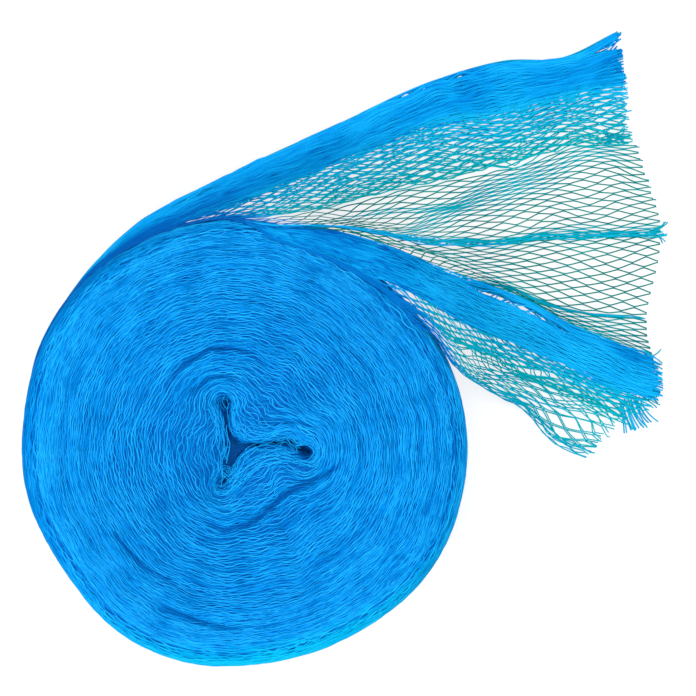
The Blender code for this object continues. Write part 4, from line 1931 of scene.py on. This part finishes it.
    def darkened(self, panel: Panel, strand: NetStrand, points: Array, loose: Array,
                 shade: Array, dark_dashes: Array) -> Array:
        """Paint shade and light on a strand: painted shade beside the roll, in the crease and in short
        dark dashes, and painted light where web strands crowd.

        Args:
            panel: Panel that it belongs to.
            strand: The strand.
            points: Its points.
            loose: How far they are from the roll, from 0 to 1.
            shade: Its own lightness.
            dark_dashes: Where its painted dark dashes lie, from 0 to 1.

        Returns:
            Its lightness, from 0 to 1.
        """
        # Painted light: web strands that crowd together are lighter.
        if panel.tips:
            shade = shade + 0.75 * (1.0 - strand.alone)
        # Painted shade: the short dark dashes.
        shade = shade - panel.dash_shade * dark_dashes
        # Painted shade of the neck, where the bunch lies deep beside the roll.
        if panel.neck is not None:
            neck = panel.neck.at(strand.line, strand.run) * blend(panel.neck.on_roll, 1.0, loose)
            shade = shade - neck * (panel.neck.dark + 0.6 * (dark_dashes - 0.3))
        shade = shade + 0.16 * LOOSE_PATCHES.at(points[:, 0], points[:, 1])
        # Painted shade in the crease between the upper bunch and the roll's side, stronger higher up.
        wall = (1.0 - loose) * ease((np.degrees(direction(points)) - 78.0) / 26.0)
        wall = wall * (0.25 + 0.75 * ease((points[:, 2] - 24.0) / 16.0))
        shade = shade - 1.3 * wall * ease((strand.line - 0.38) / 0.30)
        shade = shade + np.interp(strand.line, *np.array(LENGTHWISE_SHADES).T)
        # Painted shade in the crease where the net lies close to the roll, from the lower bunch on.
        crease = 1.0 - self.surface.looseness(points, 9.0)
        crease = crease * ease((strand.line - 5.7) / 1.1)
        return np.clip(shade * (1.0 - 0.85 * crease), 0.0, 1.0)


@dataclass(frozen=True)
class Underlay:
    """Inner strands of a bunch, as one thin sheet under its outer ones."""

    name: str
    start: float
    end: float
    cut: float
    gathers: Gathering | None = None
    columns: int = 12
    step: float = 4.0
    sunk: float = 0.8
    lowest: float = 0.3
    seed: int = 61

    def build(self, surface: DrapedSurface, material: Material) -> Piece:
        """Make the sheet.

        Args:
            surface: Surface of the loose end.
            material: Its finish.

        Returns:
            The new piece.
        """
        rng = np.random.default_rng(self.seed)
        back = np.arange(self.cut, surface.reach.min() - 2.0, self.step)
        edges = 0.05 * drift(rng, 2, back, 17.0)
        share = np.linspace(0.0, 1.0, self.columns)[:, None]
        place = blend(self.start + edges[0], self.end + edges[1], share)
        row = np.repeat(back[None, :], self.columns, axis=0)
        if self.gathers is not None:
            place = self.gathers.gathered(place, row)
        points = surface.read(surface.surface, place, row)
        points = points - unit(surface.read(surface.normal, place, row)) * self.sunk
        points[..., 2] = np.maximum(points[..., 2], self.lowest)
        count = len(back)
        i, j = np.meshgrid(np.arange(self.columns - 1), np.arange(count - 1), indexing="ij")
        corners = (i * count + j, i * count + j + 1, (i + 1) * count + j + 1, (i + 1) * count + j)
        faces = np.stack(corners, -1).reshape(-1, 4)
        mesh = bpy.data.meshes.new(self.name)
        mesh.from_pydata(in_place(points.reshape(-1, 3)), [], faces.tolist())
        along, ahead = j / (count - 1), (j + 1) / (count - 1)
        across, further = i / (self.columns - 1), (i + 1) / (self.columns - 1)
        write_bake_map(mesh, np.stack(
            [along, across, ahead, across, ahead, further, along, further], -1))
        write_values(mesh, "trough", np.zeros(len(mesh.vertices)))
        return new_piece(mesh, material)


UNDERLAYS = (Underlay("upper_bunch_core", 0.20, 0.82, 9.0, BESIDE_THE_ROLL),
             Underlay("lower_bunch_core", 5.32, 5.80, 9.0))


# ---- materials, with painted shade and light
class NodeTree:
    """Small helper that adds and links shader nodes."""

    def __init__(self, tree: Group) -> None:
        """Work on one node tree."""
        self.tree = tree

    def node(self, kind: str, **settings: object) -> bpy.types.Node:
        """Add a node, with its settings by name.

        Args:
            kind: Its type.
            settings: Its settings.

        Returns:
            The node.
        """
        made = self.tree.nodes.new(kind)
        for name, value in settings.items():
            setattr(made, name, value)
        return made

    def link(self, source: Socket, target: Socket) -> None:
        """Join two sockets."""
        self.tree.links.new(source, target)

    def feed(self, target: Socket, value: object) -> None:
        """Feed an input from a socket, or set it to a number or colour.

        Args:
            target: The input.
            value: What feeds it.
        """
        if isinstance(value, Socket):
            self.link(value, target)
        else:
            target.default_value = value

    def math(self, operation: str, *values: object) -> Socket:
        """Add a math node fed by numbers or sockets, and give its output.

        Args:
            operation: What it does.
            values: Its numbers or sockets.

        Returns:
            The output.
        """
        made = self.node("ShaderNodeMath", operation=operation)
        for target, value in zip(made.inputs, values):
            self.feed(target, value)
        return made.outputs[0]

    def mix(self, share: object, first: object, second: object) -> Socket:
        """Mix two colours by a share, and give the colour.

        Args:
            share: Share of the second one.
            first: First colour.
            second: Second colour.

        Returns:
            The output.
        """
        made = self.node("ShaderNodeMix", data_type="RGBA", clamp_factor=True)
        for index, value in ((0, share), (6, first), (7, second)):
            self.feed(made.inputs[index], value)
        return made.outputs[2]

    def bump(self, height: Socket, strength: float, distance: float) -> Socket:
        """Add a bump node, and give its normal.

        Args:
            height: The height.
            strength: How strong it looks.
            distance: Its full height.

        Returns:
            The normal.
        """
        made = self.node("ShaderNodeBump")
        made.inputs["Strength"].default_value = strength
        made.inputs["Distance"].default_value = distance
        self.link(height, made.inputs["Height"])
        return made.outputs["Normal"]


def new_group(name: str, inputs: dict[str, object], outputs: dict[str, str]
              ) -> tuple[NodeTree, bpy.types.Node, bpy.types.Node]:
    """Start a shader node group.

    Args:
        name: Its name.
        inputs: Default value of each input by name: a number or a colour.
        outputs: Socket type of each output by name.

    Returns:
        Its tree, its input node and its output node.
    """
    group = bpy.data.node_groups.new(name, "ShaderNodeTree")
    for label, value in inputs.items():
        kind = "NodeSocketColor" if isinstance(value, tuple) else "NodeSocketFloat"
        socket = group.interface.new_socket(name=label, in_out="INPUT", socket_type=kind)
        socket.default_value = value
    for label, kind in outputs.items():
        group.interface.new_socket(name=label, in_out="OUTPUT", socket_type=kind)
    tree = NodeTree(group)
    return tree, tree.node("NodeGroupInput"), tree.node("NodeGroupOutput")


def strand_shade_group() -> Group:
    """Colour of a strand from how deep it lies, as painted shade from the deep to the pale colour, with
    fine uneven tone along it.

    Returns:
        The node group.
    """
    tree, source, target = new_group(
        "strand shade",
        {"Shade": 0.5, "Tone": 0.0, "Deep": (0.0, 0.1, 0.4, 1.0), "Middle": (0.0, 0.2, 0.6, 1.0),
         "Pale": (0.01, 0.3, 0.8, 1.0), "Grain Scale": 900.0, "Grain": 0.2},
        {"Color": "NodeSocketColor", "Roughness": "NodeSocketFloat",
         "Height": "NodeSocketFloat"})
    place = tree.node("ShaderNodeTexCoord")
    grain = tree.node("ShaderNodeTexNoise", noise_dimensions="3D")
    grain.inputs["Detail"].default_value = 3.0
    tree.link(place.outputs["Object"], grain.inputs["Vector"])
    tree.link(source.outputs["Grain Scale"], grain.inputs["Scale"])
    speck = tree.math("SUBTRACT", grain.outputs["Fac"], 0.5)
    uneven = tree.math("MULTIPLY", speck, source.outputs["Grain"])
    level = tree.math("ADD", source.outputs["Shade"], uneven)
    level = tree.math("MULTIPLY_ADD", source.outputs["Tone"], 0.08, level)
    low = tree.math("MULTIPLY", level, 2.0)
    high = tree.math("MULTIPLY_ADD", level, 2.0, -1.0)
    colour = tree.mix(low, source.outputs["Deep"], source.outputs["Middle"])
    colour = tree.mix(high, colour, source.outputs["Pale"])
    rough = tree.math("MULTIPLY_ADD", grain.outputs["Fac"], 0.3, 0.4)
    tree.link(colour, target.inputs["Color"])
    tree.link(rough, target.inputs["Roughness"])
    tree.link(grain.outputs["Fac"], target.inputs["Height"])
    return tree.tree


def wound_streak_group() -> Group:
    """Fine streaks that follow the turns, as a mask and a height.

    Returns:
        The node group.
    """
    tree, source, target = new_group(
        "wound streaks", {"Along": 90.0, "Across": 260.0, "Contrast": 3.0},
        {"Mask": "NodeSocketFloat", "Height": "NodeSocketFloat"})
    place = tree.node("ShaderNodeUVMap", uv_map=BAKE_MAP)
    parts = tree.node("ShaderNodeSeparateXYZ")
    tree.link(place.outputs["UV"], parts.inputs[0])
    joined = tree.node("ShaderNodeCombineXYZ")
    along = tree.math("MULTIPLY", parts.outputs[0], source.outputs["Along"])
    across = tree.math("MULTIPLY", parts.outputs[1], source.outputs["Across"])
    tree.link(along, joined.inputs[0])
    tree.link(across, joined.inputs[1])
    noise = tree.node("ShaderNodeTexNoise", noise_dimensions="2D")
    noise.inputs["Scale"].default_value = 1.0
    noise.inputs["Detail"].default_value = 4.0
    noise.inputs["Roughness"].default_value = 0.65
    tree.link(joined.outputs[0], noise.inputs["Vector"])
    centred = tree.math("SUBTRACT", noise.outputs["Fac"], 0.5)
    mask = tree.math("MULTIPLY_ADD", centred, source.outputs["Contrast"], 0.5)
    tree.link(mask, target.inputs["Mask"])
    tree.link(noise.outputs["Fac"], target.inputs["Height"])
    return tree.tree


def new_finish(name: str, specular: float, roughness: float = 0.5
               ) -> tuple[Material, NodeTree, bpy.types.Node]:
    """Start a material.

    Args:
        name: Its name.
        specular: How much it mirrors.
        roughness: How rough it is, where nothing feeds that.

    Returns:
        The material, its nodes and its shader.
    """
    material = bpy.data.materials.new(name)
    material.use_nodes = True
    shader = material.node_tree.nodes["Principled BSDF"]
    shader.inputs["Specular IOR Level"].default_value = specular
    shader.inputs["Roughness"].default_value = roughness
    return material, NodeTree(material.node_tree), shader


@dataclass(frozen=True)
class NetColourAndShading:
    """Colours of extruded netting: deep, middle and pale copies of its colour for painted shade and
    light, and the colours that light gives thin strands.
    """

    name: str
    deep: Colour
    middle: Colour
    pale: Colour
    thin: Colour
    open: Colour
    grain: float = 0.25
    grain_scale: float = 700.0
    specular: float = 0.02

    def build(self, shade_group: Group) -> Material:
        """Make the material.

        Args:
            shade_group: Node group that colours strands.

        Returns:
            The material.
        """
        material, tree, shader = new_finish(self.name, self.specular)
        group = tree.node("ShaderNodeGroup", node_tree=shade_group)
        for label, value in (("Deep", self.deep), ("Middle", self.middle), ("Pale", self.pale),
                             ("Grain", self.grain), ("Grain Scale", self.grain_scale)):
            group.inputs[label].default_value = value
        read = {}
        for attribute in ("shade", "tone", "open"):
            read[attribute] = tree.node("ShaderNodeAttribute", attribute_name=attribute)
        for attribute, label in (("shade", "Shade"), ("tone", "Tone")):
            tree.link(read[attribute].outputs["Fac"], group.inputs[label])
        # Colour that light gives thin strands, darker where their shade is low; on the wound strands it
        # shows only as the painted rim glow.
        lit = tree.mix(read["shade"].outputs["Fac"], self.thin, self.open)
        colour = tree.mix(read["open"].outputs["Fac"], group.outputs["Color"], lit)
        tree.link(colour, shader.inputs["Base Color"])
        tree.link(group.outputs["Roughness"], shader.inputs["Roughness"])
        normal = tree.bump(group.outputs["Height"], 0.15, 0.0002)
        tree.link(normal, shader.inputs["Normal"])
        return material


@dataclass(frozen=True)
class BodyColourAndShading:
    """Colours of the inner body: the dim strands seen between the upper ones, with real streaks but
    painted darker for the shade they lie in, and a hollow colour of painted shade.
    """

    name: str
    dark: Colour
    light: Colour
    hollow: Colour
    specular: float = 0.08

    def build(self, streaks: Group) -> Material:
        """Make the material.

        Args:
            streaks: Node group that draws streaks.

        Returns:
            The material.
        """
        material, tree, shader = new_finish(self.name, self.specular, 0.7)
        group = tree.node("ShaderNodeGroup", node_tree=streaks)
        colour = tree.mix(group.outputs["Mask"], self.dark, self.light)
        # Painted shade: the hollow colour where the trough attribute is high, in the troughs and down
        # the core hollow.
        trough = tree.node("ShaderNodeAttribute", attribute_name="trough")
        colour = tree.mix(trough.outputs["Fac"], colour, self.hollow)
        tree.link(colour, shader.inputs["Base Color"])
        normal = tree.bump(group.outputs["Height"], 0.6, 0.0006)
        tree.link(normal, shader.inputs["Normal"])
        return material


# ---- studio
@dataclass(frozen=True)
class Studio:
    """Pale floor, soft lights and the camera straight above."""

    camera_height: float = 2.4
    view_width: float = 0.3863
    sensor: float = 36.0
    camera_x: float = 0.0005
    camera_y: float = 0.0

    def build(self) -> None:
        """Make the floor, the lights and the camera."""
        self.floor()
        self.lights()
        self.camera()
        bpy.context.scene.view_settings.view_transform = "Standard"

    def camera(self) -> None:
        """Look straight down, with +Y up in the picture."""
        data = bpy.data.cameras.new("camera")
        data.sensor_width = self.sensor
        data.lens = self.sensor * self.camera_height / self.view_width
        data.clip_end = 20.0
        camera = bpy.data.objects.new("camera", data)
        camera.location = (self.camera_x, self.camera_y, self.camera_height)
        bpy.context.scene.collection.objects.link(camera)
        bpy.context.scene.camera = camera

    def floor(self) -> None:
        """Wide pale floor under the roll."""
        mesh = bpy.data.meshes.new("floor")
        half, drop = 4.0, -0.0006
        corners = [(-half, -half, drop), (half, -half, drop), (half, half, drop), (-half, half, drop)]
        mesh.from_pydata(corners, [], [(0, 1, 2, 3)])
        material, _, shader = new_finish("pale_floor", 0.0, 0.9)
        shader.inputs["Base Color"].default_value = (0.3, 0.3, 0.3, 1.0)
        shader.inputs["Emission Color"].default_value = (1.0, 1.0, 1.0, 1.0)
        shader.inputs["Emission Strength"].default_value = 0.72
        mesh.materials.append(material)
        floor = bpy.data.objects.new("floor", mesh)
        bpy.context.scene.collection.objects.link(floor)

    def lights(self) -> None:
        """Pale surround, a wide light above and a key light from the lower left."""
        world = bpy.data.worlds.new("surround")
        world.use_nodes = True
        world.node_tree.nodes["Background"].inputs["Color"].default_value = (1.0, 1.0, 1.0, 1.0)
        world.node_tree.nodes["Background"].inputs["Strength"].default_value = 0.85
        bpy.context.scene.world = world
        for name, place, size, power in (
                ("wide light", (0.2, 0.3, 2.6), 1.6, 34.0),
                ("key light", (-1.5, -1.7, 1.5), 0.7, 34.0)):
            data = bpy.data.lights.new(name, "AREA")
            data.size = size
            data.energy = power
            light = bpy.data.objects.new(name, data)
            light.location = place
            aim = -light.location.copy()
            light.rotation_euler = aim.to_track_quat("-Z", "Y").to_euler()
            bpy.context.scene.collection.objects.link(light)


# ---- assembly
# Deep, middle and pale are shaded, plain and lit copies of the strand colour, for painted shade and
# light.
WOUND_STRAND = NetColourAndShading("wound_strand", deep=(0.0, 0.115, 0.44, 1.0),
                         middle=(0.0, 0.245, 0.68, 1.0), pale=(0.011, 0.43, 0.94, 1.0),
                         thin=(0.0, 0.48, 0.78, 1.0), open=(0.0, 0.58, 0.80, 1.0))
LOOSE_STRAND = NetColourAndShading("loose_strand", deep=(0.0, 0.11, 0.47, 1.0),
                         middle=(0.0, 0.27, 0.70, 1.0), pale=(0.006, 0.41, 0.87, 1.0),
                         thin=(0.0, 0.175, 0.145, 1.0), open=(0.0, 0.36, 0.27, 1.0))
# The hollow colours are painted shade in the troughs and the core hollow.
WOUND_BODY = BodyColourAndShading("wound_body", dark=(0.0, 0.085, 0.37, 1.0), light=(0.0, 0.18, 0.58, 1.0),
                        hollow=(0.0, 0.012, 0.12, 1.0))
BUNCH_BODY = BodyColourAndShading("bunch_body", dark=(0.0, 0.20, 0.60, 1.0), light=(0.0, 0.30, 0.76, 1.0),
                        hollow=(0.0, 0.10, 0.40, 1.0))


def place_piece(piece: Piece, slot: str, *nodes: str) -> None:
    """Put a piece on the body, in place of some nodes, and report it.

    Args:
        piece: The piece.
        slot: Its slot; not used.
        nodes: Nodes that it stands for.
    """
    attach(piece, BODY)
    if nodes:
        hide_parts(*nodes)
    triangles = sum(len(face.vertices) - 2 for face in piece.data.polygons)
    LOG.info("%s: %d triangles", piece.name, triangles)


def main() -> None:
    """Build the roll, the loose end and the studio."""
    logging.basicConfig(level=logging.INFO, format="%(name)s: %(message)s")
    Studio().build()
    shade = strand_shade_group()
    wound_strand = WOUND_STRAND.build(shade)
    loose_strand = LOOSE_STRAND.build(shade)
    outline, side = Outline(), SideProfile()
    wound = WoundField(outline, side)
    streaks = wound_streak_group()
    body = WoundBody(wound).build(WOUND_BODY.build(streaks))
    place_piece(body, WOUND_SLOT, "netting_roll")
    for piece in FaceTurns(wound).build(wound_strand) + SideTurns(wound).build(wound_strand):
        place_piece(piece, WOUND_SLOT)
    place_piece(CoreThreads(wound).build(wound_strand), WOUND_SLOT)
    surface = DrapedSurface(outline, side)
    bunch_body = BUNCH_BODY.build(streaks)
    cores = [underlay.build(surface, bunch_body) for underlay in UNDERLAYS]
    nets = (LooseNet(surface, "loose_net_upper", UPPER_PANELS, 51, UPPER_STRAYS),
            LooseNet(surface, "loose_net_middle", MIDDLE_PANELS, 52, MIDDLE_STRAYS),
            LooseNet(surface, "loose_net_lower", LOWER_PANELS, 53, LOWER_STRAYS))
    for net, inner in zip(nets, (cores[:1], [], cores[1:])):
        piece = net.build(loose_strand)
        place_piece(piece, LOOSE_SLOT, *(["loose_end"] if net is nets[0] else []))
        net.shut_size()
        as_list(inner)
        LOG.info("%s: %.3f by %.3f m pulled shut", net.name, *net.shut_size())
    for core in cores:
        place_piece(core, LOOSE_SLOT)


if __name__ == "__main__":
    main()
